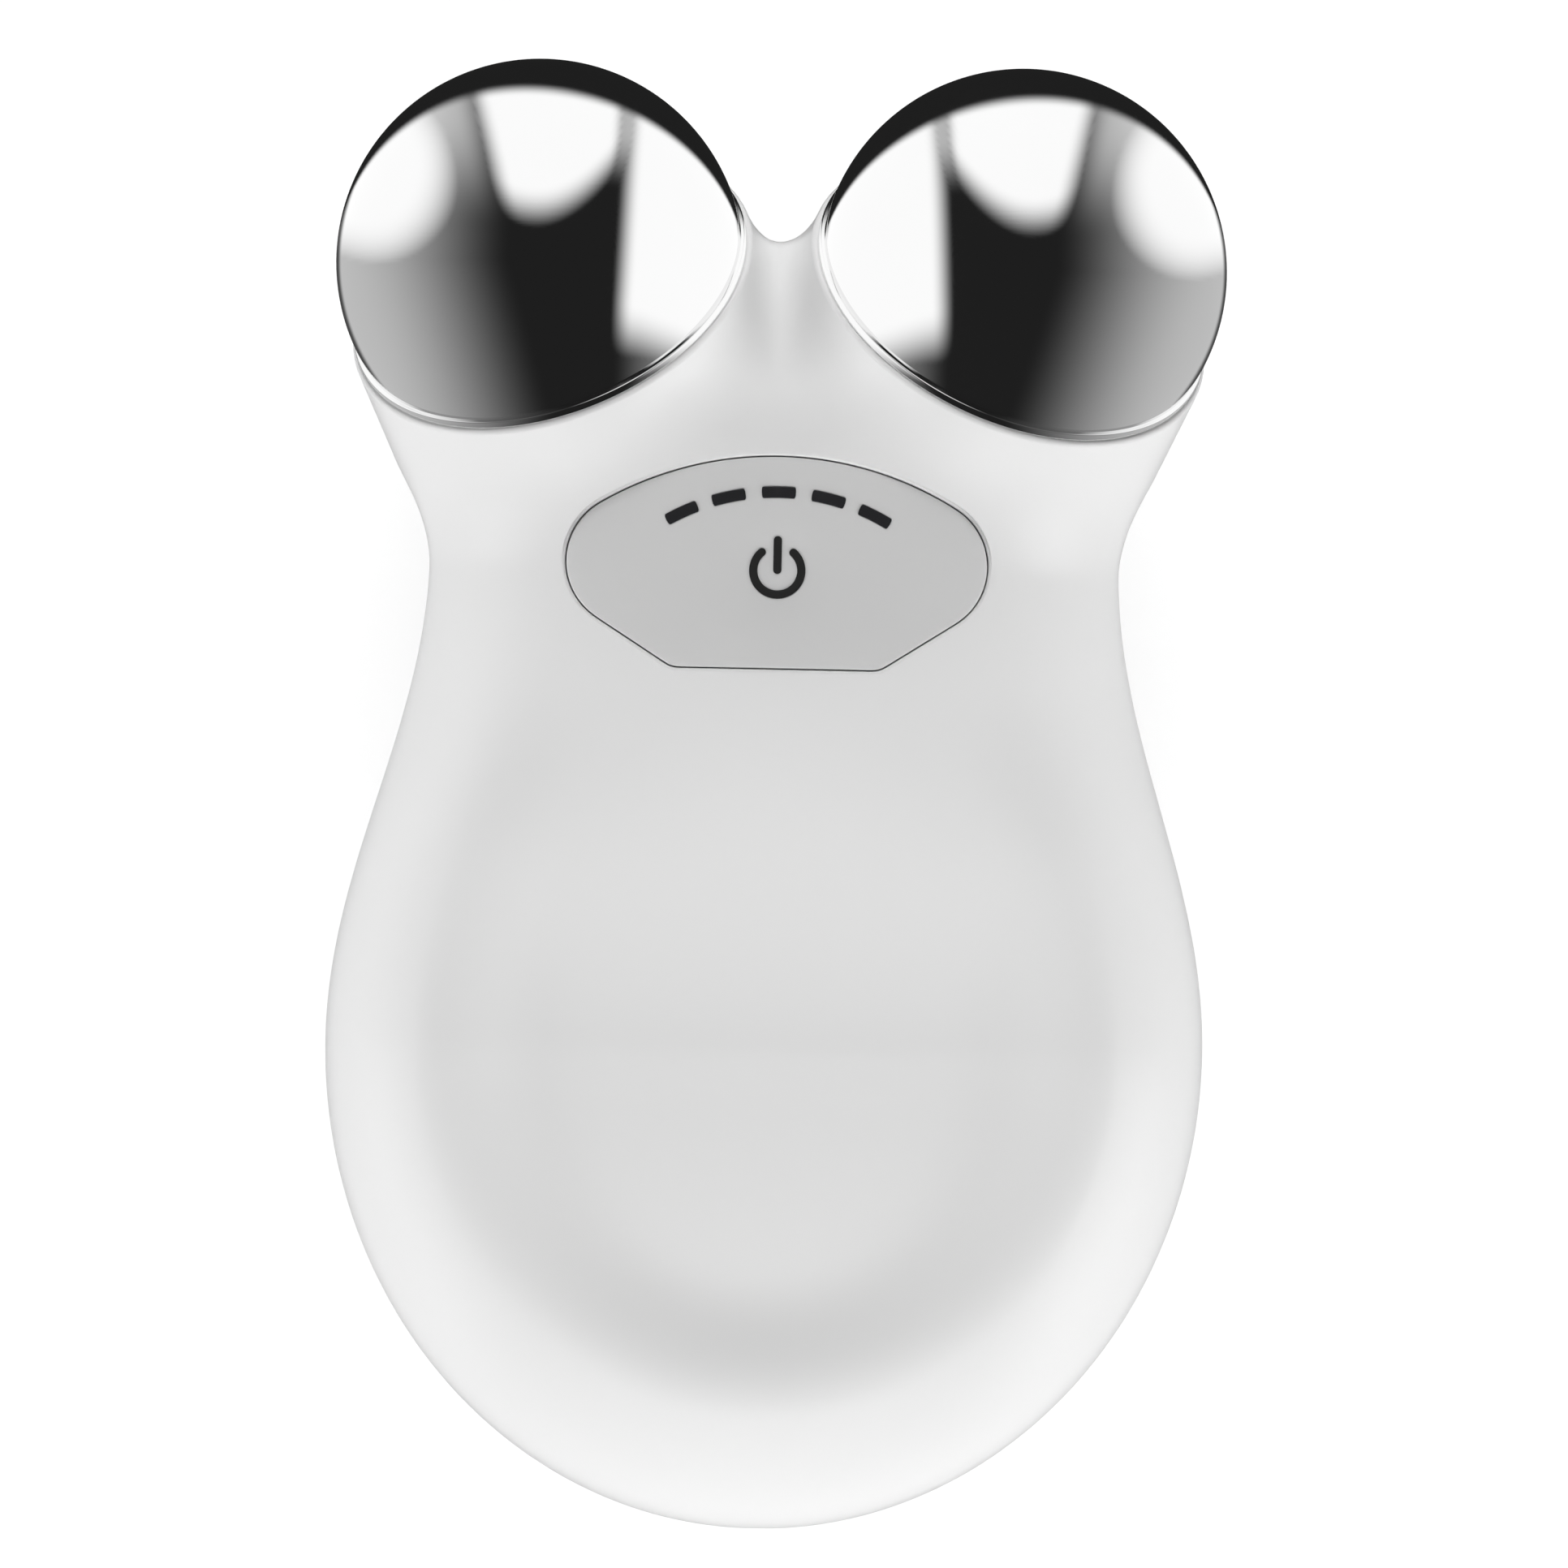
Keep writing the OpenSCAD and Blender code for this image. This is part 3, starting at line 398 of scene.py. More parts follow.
    def inner(self, name, inset, rings=18, around=44):
        """Solid that follows the case, moved in by inset."""
        e = inset
        bend = np.linspace(math.radians(3), math.pi / 2, rings, endpoint=False)
        nose = WIDEST_AT - (WIDEST_AT - e) * np.cos(bend)
        middle = np.linspace(WIDEST_AT, WAIST_AT, rings, endpoint=False)
        head = WAIST_AT + (HEAD_LEN - e) * np.sin(np.radians(np.linspace(0, 88.5, rings)))
        out = []
        for s in np.concatenate([nose, middle, head]):
            k = math.sqrt(max(0, 1 - ((WIDEST_AT - s) / (WIDEST_AT - e)) ** 2)) if s < WIDEST_AT else 1
            close = math.sqrt(max(0, 1 - ((s - WAIST_AT) / (HEAD_LEN - e)) ** 2)) if s > WAIST_AT else 1
            wide = (float(self.broad(s)) - e) * k * close
            t = np.linspace(0, math.pi, around)
            front_t, back_t = t, t[1:-1][::-1]
            power = float(self.front_power(s))
            x = wide * signed_pow(np.cos(front_t), 2 / power)
            high = (float(self.front(s)) - e) * k
            z = self.split(s) + high * np.sin(front_t) ** (2 / power) - self.dish(x, s)
            ramp = NECK_Z - (s - SCOOP_AT) * math.tan(SCOOP_SLOPE) + (
                SCOOP_R - np.sqrt(np.maximum((SCOOP_R + e) ** 2 - x * x, 0))) / math.cos(SCOOP_SLOPE)
            z = np.where(np.abs(x) < SCOOP_R + e, np.minimum(z, np.maximum(ramp, self.split(s) + 0.05)), z)
            low_x = wide * signed_pow(np.cos(back_t), 2 / BACK_POWER)
            low_z = self.split(s) - (float(self.back(s)) - e) * k * np.sin(back_t) ** (2 / BACK_POWER)
            x, z = np.concatenate([x, low_x]), np.concatenate([z, np.maximum(low_z, e)])
            out.append(np.column_stack([x, np.full_like(x, s), z]))
        return loft(name, out)

    def half_space(self, name, above, shift=0.0):
        """Slab on one side of the parting plane, moved up by shift."""
        far = 60.0
        ring = []
        for x in (-60.0, 60.0):
            row = []
            for s, edge in ((-30.0, 0), (130.0, 0), (130.0, 1), (-30.0, 1)):
                z = self.split(s) + shift
                row.append((x, s, z + (far if above else -far) * edge))
            ring.append(row)
        return loft(name, ring)

    def axis_matrix(self, side):
        return (Matrix.Translation((side * BALL_X, BALL_AT, BALL_Z))
                @ Matrix.Rotation(-side * LEAN, 4, "Z")
                @ Matrix.Rotation(RISE - math.pi / 2, 4, "X"))


def surface_net(field, axes, step):
    """Quads round the zero level of a field given on a regular grid."""
    shape = np.array(field.shape) - 1
    total = np.zeros((*shape, 3))
    count = np.zeros(shape)
    crossings = []
    for axis in range(3):
        a = np.moveaxis(field, axis, 0)[:-1]
        b = np.moveaxis(field, axis, 0)[1:]
        cross = np.moveaxis((a < 0) != (b < 0), 0, axis)
        t = np.moveaxis(a / np.where(np.abs(a - b) < 1e-12, 1, a - b), 0, axis)
        index = np.argwhere(cross)
        where = index.astype(float)
        where[:, axis] += t[tuple(index.T)]
        others = [k for k in range(3) if k != axis]
        cells = []
        for da, db in ((0, 0), (1, 0), (1, 1), (0, 1)):
            cell = index.copy()
            cell[:, others[0]] -= da
            cell[:, others[1]] -= db
            cells.append(cell)
            np.add.at(total, tuple(cell.T), where)
            np.add.at(count, tuple(cell.T), 1)
        inside = field[tuple(index.T)] < 0
        crossings.append((cells, inside, axis))
    ids = np.full(shape, -1)
    used = count > 0
    ids[used] = np.arange(used.sum())
    verts = total[used] / count[used][:, None]
    low = np.array([axis[0] for axis in axes])
    faces = []
    for cells, inside, axis in crossings:
        quads = np.stack([ids[tuple(c.T)] for c in cells], 1)
        flip = inside if axis != 1 else ~inside
        quads = np.where(flip[:, None], quads, quads[:, ::-1])
        faces.append(quads)
    return low + verts * step, np.concatenate(faces)


def skin_object(name, verts, faces):
    mesh = bpy.data.meshes.new(name)
    mesh.vertices.add(len(verts))
    mesh.vertices.foreach_set("co", verts.astype(np.float32).ravel())
    mesh.loops.add(faces.size)
    mesh.loops.foreach_set("vertex_index", faces.astype(np.int32).ravel())
    mesh.polygons.add(len(faces))
    mesh.polygons.foreach_set("loop_start", np.arange(0, faces.size, 4, dtype=np.int32))
    mesh.update(calc_edges=True)
    mesh.validate()
    return link(name, mesh)


def true_normals(obj, shape, tolerance=0.012):
    """Shades the outer faces by the exact surface, and the rest by angle."""
    shade(obj, 32)
    mesh = obj.data
    co = np.zeros(len(mesh.vertices) * 3, np.float32)
    mesh.vertices.foreach_get("co", co)
    value, normal = shape.exact(co.reshape(-1, 3).T.astype(float))
    corner_vert = np.zeros(len(mesh.loops), np.int32)
    mesh.loops.foreach_get("vertex_index", corner_vert)
    face_normal = np.zeros(len(mesh.polygons) * 3, np.float32)
    mesh.polygons.foreach_get("normal", face_normal)
    size = np.zeros(len(mesh.polygons), np.int32)
    mesh.polygons.foreach_get("loop_total", size)
    of_face = np.repeat(face_normal.reshape(-1, 3), size, axis=0)
    corner_normal = normal.T[corner_vert]
    on_skin = (np.abs(value[corner_vert]) < tolerance) & ((of_face * corner_normal).sum(1) > 0.9)
    face_id = np.repeat(np.arange(len(size)), size)
    whole = np.bincount(face_id, on_skin) == size
    keep = whole[face_id]
    mesh.normals_split_custom_set(np.where(keep[:, None], corner_normal, 0).tolist())


# ---------------------------------------------------------------- key shape

def key_outline(count=288):
    """Outline of the key and its outward normals, evenly spaced."""
    end_x, arc_at = KEY_W / 2 - KEY_END_R, KEY_TOP - KEY_ARC_R
    end_at = arc_at + math.sqrt((KEY_ARC_R - KEY_END_R) ** 2 - end_x ** 2)
    turn = math.degrees(math.atan2(end_at - arc_at, end_x))
    right = arc(end_x, end_at, KEY_END_R, -math.degrees(KEY_CHAMFER), turn, 60)
    over = arc(0, arc_at, KEY_ARC_R, turn, 180 - turn, 120)
    left = [(-x, y) for x, y in reversed(right)]
    corner = right[0][0] - (right[0][1] - KEY_LOW) * math.tan(KEY_CHAMFER)
    points = np.array([(corner, KEY_LOW)] + right + over[1:-1] + left + [(-corner, KEY_LOW)])
    loop = np.vstack([points, points[:1]])
    length = np.concatenate([[0], np.cumsum(np.linalg.norm(np.diff(loop, axis=0), axis=1))])
    at = np.linspace(0, length[-1], count * 4, endpoint=False)
    dense = np.column_stack([np.interp(at, length, loop[:, k]) for k in range(2)])
    reach = int(round(0.75 / (length[-1] / len(dense))))
    weight = np.hanning(2 * reach + 3)[1:-1]
    weight /= weight.sum()
    soft = sum(w * np.roll(dense, reach - i, axis=0) for i, w in enumerate(weight))
    soft = soft[::4]
    along = np.roll(soft, -1, axis=0) - np.roll(soft, 1, axis=0)
    normal = np.column_stack([along[:, 1], -along[:, 0]])
    return soft, normal / np.linalg.norm(normal, axis=1)[:, None]


def key_ring(shape, outline, out, depth):
    """The outline moved out, at a depth below the front face."""
    points, normal = outline
    at = points + normal * out
    return np.column_stack([at, shape.face_z(at[:, 0], at[:, 1]) - depth])


def key_rings_in(shape, outline, out, depth, steps, dimple=None):
    """Rings from the outline in to the middle, and the last one a point."""
    points, normal = outline
    edge = points + normal * out
    rings = []
    for t in np.linspace(1, 0, steps + 1)[1:]:
        at = KEY_CENTRE + (edge - KEY_CENTRE) * max(t, 0.002)
        z = shape.face_z(at[:, 0], at[:, 1]) - depth
        if dimple:
            z = z - dimple(at)
        rings.append(np.column_stack([at, z]))
    return rings


def stroke(name, shape, path, width, top, bottom, edge=0.05, dimple=None, blunt=1.0):
    """Bar along a path on the front face, from top to bottom; its ends are round at blunt 1."""
    path = np.array(path, float)
    r = width / 2
    first, last = path[1] - path[0], path[-1] - path[-2]
    ends = np.cos(np.linspace(0, math.pi / 2, 8)[:-1])
    lead = [path[0] - first / np.linalg.norm(first) * r * blunt * c for c in ends]
    tail = [path[-1] + last / np.linalg.norm(last) * r * blunt * c for c in ends[::-1]]
    halves = [r * max(1 - c ** (1 + 1 / blunt), 0.0004) ** (1 / (1 + 1 / blunt)) for c in ends]
    line = np.array(lead + list(path) + tail)
    half = np.array(halves + [r] * len(path) + halves[::-1])
    along = np.gradient(line, axis=0)
    along /= np.linalg.norm(along, axis=1)[:, None]
    across = np.column_stack([along[:, 1], -along[:, 0]])
    rings = []
    for c, a, w in zip(line, across, half):
        e = min(edge, w * 0.6)
        section = [(-w, -bottom), (-w, top - e), (-w + 0.3 * e, top - 0.3 * e), (-w + e, top),
                   (-w * 0.3, top), (w * 0.3, top),
                   (w - e, top), (w - 0.3 * e, top - 0.3 * e), (w, top - e), (w, -bottom)]
        ring = []
        for off, h in section:
            x, s = c + a * off
            sink = float(dimple(np.array([[x, s]]))[0]) if dimple else 0
            ring.append((x, s, float(shape.face_z(x, s)) + h - sink))
        rings.append(ring)
    return loft(name, rings)


def on_window_arc(a, r):
    return r * math.sin(a), WINDOW_TOP - WINDOW_ARC_R + r * math.cos(a)


def window_path(turn):
    """Middle line of one level window, a short arc of the window circle."""
    reach = math.degrees((WINDOW_W - WINDOW_BLUNT * WINDOW_H) / 2 / WINDOW_ARC_R)
    turns = np.radians(np.linspace(turn - reach, turn + reach, 7))
    return [on_window_arc(a, WINDOW_ARC_R) for a in turns]


def symbol_paths():
    r = SYMBOL_R - SYMBOL_STROKE / 2
    open_by = SYMBOL_OPEN + 7
    ring = [(KEY_CENTRE[0] + x, KEY_CENTRE[1] + y) for x, y in arc(0, 0, r, 90 + open_by, 450 - open_by, 48)]
    bar = [(0.0, KEY_CENTRE[1] + y) for y in np.linspace(0.05, 2.05, 9)]
    return ring, bar


# ---------------------------------------------------------------- materials

def add_socket(group, name, kind, out=False, default=None):
    item = group.interface.new_socket(
        name=name, in_out="OUTPUT" if out else "INPUT", socket_type="NodeSocket" + kind)
    if default is not None:
        item.default_value = default


def noise_node(nodes, links, coord, scale, detail, rough):
    node = nodes.new("ShaderNodeTexNoise")
    node.inputs["Detail"].default_value = detail
    node.inputs["Roughness"].default_value = rough
    links.new(coord, node.inputs["Vector"])
    links.new(scale, node.inputs["Scale"])
    return node.outputs["Fac"]


def math_node(nodes, links, operation, *values, clamp=False):
    """Math node whose inputs are sockets or plain numbers."""
    node = nodes.new("ShaderNodeMath")
    node.operation, node.use_clamp = operation, clamp
    for value, socket in zip(values, node.inputs):
        if isinstance(value, (int, float)):
            socket.default_value = value
        else:
            links.new(value, socket)
    return node.outputs[0]


def finish_group():
    """Shared effect: cloudy tone, uneven gloss and fine grain over a surface."""
    name = "Fine Grain"
    if name in bpy.data.node_groups:
        return bpy.data.node_groups[name]
    group = bpy.data.node_groups.new(name, "ShaderNodeTree")
    add_socket(group, "Tone", "Color", default=(0.8, 0.8, 0.8, 1))
    for label, default in (("Tone Shift", 0.03), ("Cloud Scale", 60.0), ("Gloss", 0.3),
                           ("Gloss Spread", 0.05), ("Grain Scale", 2500.0), ("Grain Depth", 0.1)):
        add_socket(group, label, "Float", default=default)
    for label, kind in (("Color", "Color"), ("Roughness", "Float"), ("Normal", "Vector"),
                        ("Height", "Float")):
        add_socket(group, label, kind, out=True)
    nodes, links = group.nodes, group.links
    source, sink = nodes.new("NodeGroupInput").outputs, nodes.new("NodeGroupOutput").inputs
    coord = object_coord(nodes)
    cloud = noise_node(nodes, links, coord, source["Cloud Scale"], 4, 0.55)
    grain = noise_node(nodes, links, coord, source["Grain Scale"], 3, 0.6)
    centred = math_node(nodes, links, "SUBTRACT", cloud, 0.5)
    shift = math_node(nodes, links, "MULTIPLY_ADD", centred, source["Tone Shift"], 1.0)
    gloss = math_node(nodes, links, "MULTIPLY_ADD", centred, source["Gloss Spread"], source["Gloss"],
                      clamp=True)
    tone = nodes.new("ShaderNodeVectorMath")
    tone.operation = "SCALE"
    links.new(source["Tone"], tone.inputs[0])
    links.new(shift, tone.inputs["Scale"])
    bump = nodes.new("ShaderNodeBump")
    bump.inputs["Distance"].default_value = 0.00002
    links.new(source["Grain Depth"], bump.inputs["Strength"])
    links.new(grain, bump.inputs["Height"])
    for label, value in (("Color", tone.outputs[0]), ("Roughness", gloss), ("Normal", bump.outputs[0]),
                         ("Height", grain)):
        links.new(value, sink[label])
    return group


def finish_material(name, tone, gloss, metal=0.0, shift=0.03, cloud=60.0, spread=0.05,
                    grain=2500.0, depth=0.1, ior=1.5, coat=0.0, pattern=None):
    """Principled material fed by the shared grain, with an optional pattern."""
    material = bpy.data.materials.get(name)
    if material:
        return material
    material = bpy.data.materials.new(name)
    material.use_nodes = True
    nodes, links = material.node_tree.nodes, material.node_tree.links
    shader = nodes["Principled BSDF"]
    shader.inputs["Metallic"].default_value = metal
    shader.inputs["IOR"].default_value = ior
    shader.inputs["Coat Weight"].default_value = coat
    shader.inputs["Coat Roughness"].default_value = 0.08
    group = nodes.new("ShaderNodeGroup")
    group.node_tree = finish_group()
    for label, value in (("Tone", (*tone, 1)), ("Tone Shift", shift), ("Cloud Scale", cloud),
                         ("Gloss", gloss), ("Gloss Spread", spread), ("Grain Scale", grain),
                         ("Grain Depth", depth)):
        group.inputs[label].default_value = value
    links.new(group.outputs["Roughness"], shader.inputs["Roughness"])
    colour, normal = group.outputs["Color"], group.outputs["Normal"]
    if pattern:
        colour, normal = pattern(nodes, links, colour, normal)
    links.new(colour, shader.inputs["Base Color"])
    links.new(normal, shader.inputs["Normal"])
    return material


def two_tone(nodes, links, colour, factor, other):
    blend = nodes.new("ShaderNodeMix")
    blend.data_type = "RGBA"
    links.new(factor, blend.inputs["Factor"])
    links.new(colour, blend.inputs["A"])
    blend.inputs["B"].default_value = (*other, 1)
    return blend.outputs["Result"]


def ramp_between(nodes, links, value, low, high):
    node = nodes.new("ShaderNodeMapRange")
    node.interpolation_type = "SMOOTHSTEP"
    node.inputs["From Min"].default_value = low
    node.inputs["From Max"].default_value = high
    links.new(value, node.inputs["Value"])
    return node.outputs["Result"]


def object_coord(nodes):
    return nodes.new("ShaderNodeTexCoord").outputs["Object"]


def raise_by(nodes, links, height, normal, strength, distance=0.00005):
    bump = nodes.new("ShaderNodeBump")
    bump.inputs["Strength"].default_value = strength
    bump.inputs["Distance"].default_value = distance
    links.new(height, bump.inputs["Height"])
    links.new(normal, bump.inputs["Normal"])
    return bump.outputs[0]


def traces(nodes, links, colour, normal):
    """Copper runs under the solder mask of a board."""
    brick = nodes.new("ShaderNodeTexBrick")
    brick.inputs["Scale"].default_value = 260
    brick.inputs["Mortar Size"].default_value = 0.03
    brick.inputs["Bias"].default_value = -0.4
    links.new(object_coord(nodes), brick.inputs["Vector"])
    colour = two_tone(nodes, links, colour, brick.outputs["Fac"], (0.05, 0.24, 0.09))
    return colour, raise_by(nodes, links, brick.outputs["Fac"], normal, 0.5)


def winding(nodes, links, colour, normal):
    """Turns of enamelled wire round a bobbin."""
    wave = nodes.new("ShaderNodeTexWave")
    wave.bands_direction = "Z"
    wave.inputs["Scale"].default_value = 900
    wave.inputs["Distortion"].default_value = 0.4
    links.new(object_coord(nodes), wave.inputs["Vector"])
    colour = two_tone(nodes, links, colour, wave.outputs["Fac"], (0.75, 0.33, 0.14))
    return colour, raise_by(nodes, links, wave.outputs["Fac"], normal, 0.9)


def foam(nodes, links, colour, normal):
    """Open cells of a soft pad."""
    cells = nodes.new("ShaderNodeTexVoronoi")
    cells.inputs["Scale"].default_value = 1800
    links.new(object_coord(nodes), cells.inputs["Vector"])
    deep = ramp_between(nodes, links, cells.outputs["Distance"], 0.6, 0.1)
    colour = two_tone(nodes, links, colour, deep, (0.02, 0.02, 0.02))
    return colour, raise_by(nodes, links, cells.outputs["Distance"], normal, 0.8)


def foil(nodes, links, colour, normal):
    """Creased wrap of a pouch cell."""
    creases = nodes.new("ShaderNodeTexVoronoi")
    creases.feature = "DISTANCE_TO_EDGE"
    creases.inputs["Scale"].default_value = 140
    links.new(object_coord(nodes), creases.inputs["Vector"])
    fold = ramp_between(nodes, links, creases.outputs["Distance"], 0.0, 0.12)
    return colour, raise_by(nodes, links, fold, normal, 0.35, 0.0001)


def polish(nodes, links, colour, normal):
    """Hairline marks left in a bright metal by polishing."""
    stretch = nodes.new("ShaderNodeMapping")
    stretch.inputs["Scale"].default_value = (1.0, 12.0, 1.0)
    links.new(object_coord(nodes), stretch.inputs["Vector"])
    hair = nodes.new("ShaderNodeTexNoise")
    hair.inputs["Scale"].default_value = 420
    hair.inputs["Detail"].default_value = 2
    links.new(stretch.outputs[0], hair.inputs["Vector"])
    return colour, raise_by(nodes, links, hair.outputs["Fac"], normal, 0.03, 0.00002)


def thread(nodes, links, colour, normal):
    """Fine turned rings on steel."""
    wave = nodes.new("ShaderNodeTexWave")
    wave.bands_direction = "Z"
    wave.inputs["Scale"].default_value = 700
    links.new(object_coord(nodes), wave.inputs["Vector"])
    return colour, raise_by(nodes, links, wave.outputs["Fac"], normal, 0.3)


# ---------------------------------------------------------------- settings

class ToningCase(bpy.types.PropertyGroup):
    width: FloatProperty(name="Width", description="Width of the case at its widest", default=0.060,
                         unit="LENGTH")
    waist: FloatProperty(name="Waist", description="Width of the case at the neck", default=0.047,
                         unit="LENGTH")
    wall: FloatProperty(name="Wall", description="Wall thickness of the shells", default=0.002, unit="LENGTH")
    dish_depth: FloatProperty(name="Dish Depth", description="Depth of the thumb dish", default=0.0038,
                              unit="LENGTH")
    blend: FloatProperty(name="Collar Blend", description="Softness of the crease round each collar",
                         default=0.0026, unit="LENGTH")
    crease: FloatProperty(name="Ramp Crease", description="Softness of the upper edge of the ramp",
                          default=0.0018, unit="LENGTH")
    seam: FloatProperty(name="Seam", description="Width of the parting line", default=0.00009, unit="LENGTH")
    mesh_step: FloatProperty(name="Mesh Step", description="Size of the faces of the outer skin",
                             default=0.00055, unit="LENGTH")
    colour: FloatVectorProperty(name="Colour", description="Colour of the case plastic", subtype="COLOR",
                                default=(0.80, 0.80, 0.80), min=0, max=1)
    gloss: FloatProperty(name="Roughness", description="Roughness of the case plastic", default=0.30,
                         min=0, max=1, subtype="FACTOR")


class ToningElectrodes(bpy.types.PropertyGroup):
    radius: FloatProperty(name="Radius", description="Radius of an electrode dome", default=0.01385,
                          unit="LENGTH")
    colour: FloatVectorProperty(name="Colour", description="Tint of the chrome", subtype="COLOR",
                                default=(0.86, 0.86, 0.86), min=0, max=1)
    gloss: FloatProperty(name="Roughness", description="Roughness of the chrome", default=0.05, min=0, max=1,
                         subtype="FACTOR")


class ToningKey(bpy.types.PropertyGroup):
    gap: FloatProperty(name="Gap", description="Gap round the key", default=0.00008, unit="LENGTH")
    edge: FloatProperty(name="Edge Radius", description="Radius of the key's rim", default=0.00010,
                        unit="LENGTH")
    dimple: FloatProperty(name="Dimple", description="Depth of the dimple round the symbol", default=0.00022,
                          unit="LENGTH")
    colour: FloatVectorProperty(name="Colour", description="Colour of the key", subtype="COLOR",
                                default=(0.65, 0.65, 0.65), min=0, max=1)
    ink: FloatVectorProperty(name="Ink", description="Colour of the printed symbol", subtype="COLOR",
                             default=(0.018, 0.018, 0.018), min=0, max=1)


class ToningStage(bpy.types.PropertyGroup):
    distance: FloatProperty(name="Camera Distance", description="Camera to the middle of the object",
                            default=1.2, unit="LENGTH")
    frame_width: FloatProperty(name="Frame Width", description="Width of the picture at the object",
                               default=0.1072, unit="LENGTH")
    centre_x: FloatProperty(name="Centre X", description="Middle of the picture across", default=0.0010,
                            unit="LENGTH")
    centre_y: FloatProperty(name="Centre Y", description="Middle of the picture along", default=0.0011,
                            unit="LENGTH")
    roll: FloatProperty(name="Roll", description="Turn of the picture", default=math.radians(1.15),
                        subtype="ANGLE")
    yaw: FloatProperty(name="Yaw", description="Lean of the camera toward -X", default=math.radians(1.0),
                       subtype="ANGLE")
    light: FloatProperty(name="Light", description="Strength of the studio light", default=1.0, min=0)


# ---------------------------------------------------------------- operators

class TONING_OT_case(bpy.types.Operator):
    """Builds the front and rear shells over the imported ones"""
    bl_idname = "toning.case"
    bl_label = "Build Case Shells"

    def key_tools(self, shape, scene):
        """Opening with a rounded edge, and the pocket that holds the key's flange."""
        gap, edge = scene.toning_key.gap / MM, 0.26
        outline = key_outline()
        rings = [key_ring(shape, outline, gap, 8.0)]
        for t in np.radians([0, 15, 30, 45, 58, 70, 80, 86]):
            rings.append(key_ring(shape, outline, gap + edge * (1 - math.cos(t)), edge * (1 - math.sin(t))))
        rings.append(key_ring(shape, outline, gap + edge * (1 - math.cos(math.radians(86))), -3.0))
        opening = loft("key_opening", rings)
        pocket = loft("key_pocket", [key_ring(shape, outline, 1.7, d) for d in (1.75, 6.0)])
        return opening, pocket

    def mouth(self, shape, side):
        """Bore, bead groove and rounded rim of one collar."""
        r, rim = shape.bore_r, -RIM_BACK
        low = rim - COLLAR_LEN
        lip = 0.3
        profile = [(x, y) for x, y in arc(0, low, r, -90, 0, 20)]
        profile[0] = (0, profile[0][1])
        profile += [(r, rim - 4.0), (r + 0.65, rim - 4.0), (r + 0.65, rim - 3.0), (r, rim - 3.0)]
        profile += [(x, y) for x, y in arc(r + 0.15, rim - 0.15, 0.15, 180, 94, 6)]
        profile += [(x, y) for x, y in arc(shape.collar_r - lip, rim - lip, lip, 88, 8, 9)]
        last = profile[-1]
        profile += [(shape.collar_r + 4, last[1]), (shape.collar_r + 4, rim + 30), (0, rim + 30)]
        tool = lathe("mouth", profile, 192)
        tool.data.transform(shape.axis_matrix(side))
        return tool

    def cavity(self, shape):
        """Room inside the shells, less the posts and ribs that stand in it."""
        room = shape.inner("cavity", shape.wall)
        steps = [("DIFFERENCE", post("case_post", at, 2.8, -1, 32)) for at in CASE_HOLES]
        steps += [("DIFFERENCE", post("board_post", at, 1.8, 22, 32)) for at in BOARD_HOLES]
        steps += [("DIFFERENCE", post("charge_post", at, 1.7, -1, 6.7)) for at in CHARGE_HOLES]
        for low, high in (((14.3, 22, -1), (15.5, 49, 6)), ((-15.5, 22, -1), (-14.3, 49, 6)),
                          ((-11, 18.1, -1), (11, 18.7, 6)), ((-11, 52.3, -1), (11, 53.5, 6))):
            steps.append(("DIFFERENCE", block("rib", low, high)))
        return carve(room, *steps)

    def holes(self, shape):
        """Wells of the case screws, holes of the small screws and the port's opening."""
        steps = []
        play = 0.1
        for at in CASE_HOLES:
            split = shape.split(at[1])
            seat = split - SEAT_BACK
            end = seat + SCREW_LEN + 0.5
            steps.append(("DIFFERENCE", lathe_at("counterbore", at, [
                (0, -2), (HEAD_R + 0.6, -2), (HEAD_R + play, well_mouth(shape, at)), (HEAD_R + play, seat),
                (SHANK_R + play, seat), (SHANK_R + play, split), (SHANK_R + 0.02, split),
                (SHANK_R + 0.02, end), (0, end)])))
        for holes, low, high in ((BOARD_HOLES, 21, 25.7), (CHARGE_HOLES, 2.7, 7.7)):
            steps += [("DIFFERENCE", post("screw_hole", at, SMALL_HOLE_R, low, high)) for at in holes]
        low = (-PORT_W / 2 - PORT_PLAY, -2, PORT_Z - PORT_PLAY)
        high = (PORT_W / 2 + PORT_PLAY, PORT_AT + PORT_LEN, PORT_Z + PORT_H + PORT_PLAY)
        return steps + [("DIFFERENCE", block("port_hole", low, high, 0.7))]

    def halves(self, shape, whole):
        """Front and rear shell: the rear one has a lip that stands in the front one."""
        half, lip_high, play = shape.seam / 2, 1.0, 0.05
        lip = carve(shape.inner("core", shape.wall / 2),
                    ("INTERSECT", shape.half_space("lip_top", False, lip_high)))
        lip_room = carve(shape.inner("core_room", shape.wall / 2 - play),
                         ("INTERSECT", shape.half_space("room_top", False, lip_high + play)))
        behind = carve(shape.half_space("behind", False, -half), ("UNION", lip))
        under = carve(shape.half_space("under", False, half), ("UNION", lip_room))
        front = carve(copy_of(whole, "front"), ("DIFFERENCE", under))
        return front, carve(whole, ("INTERSECT", behind))

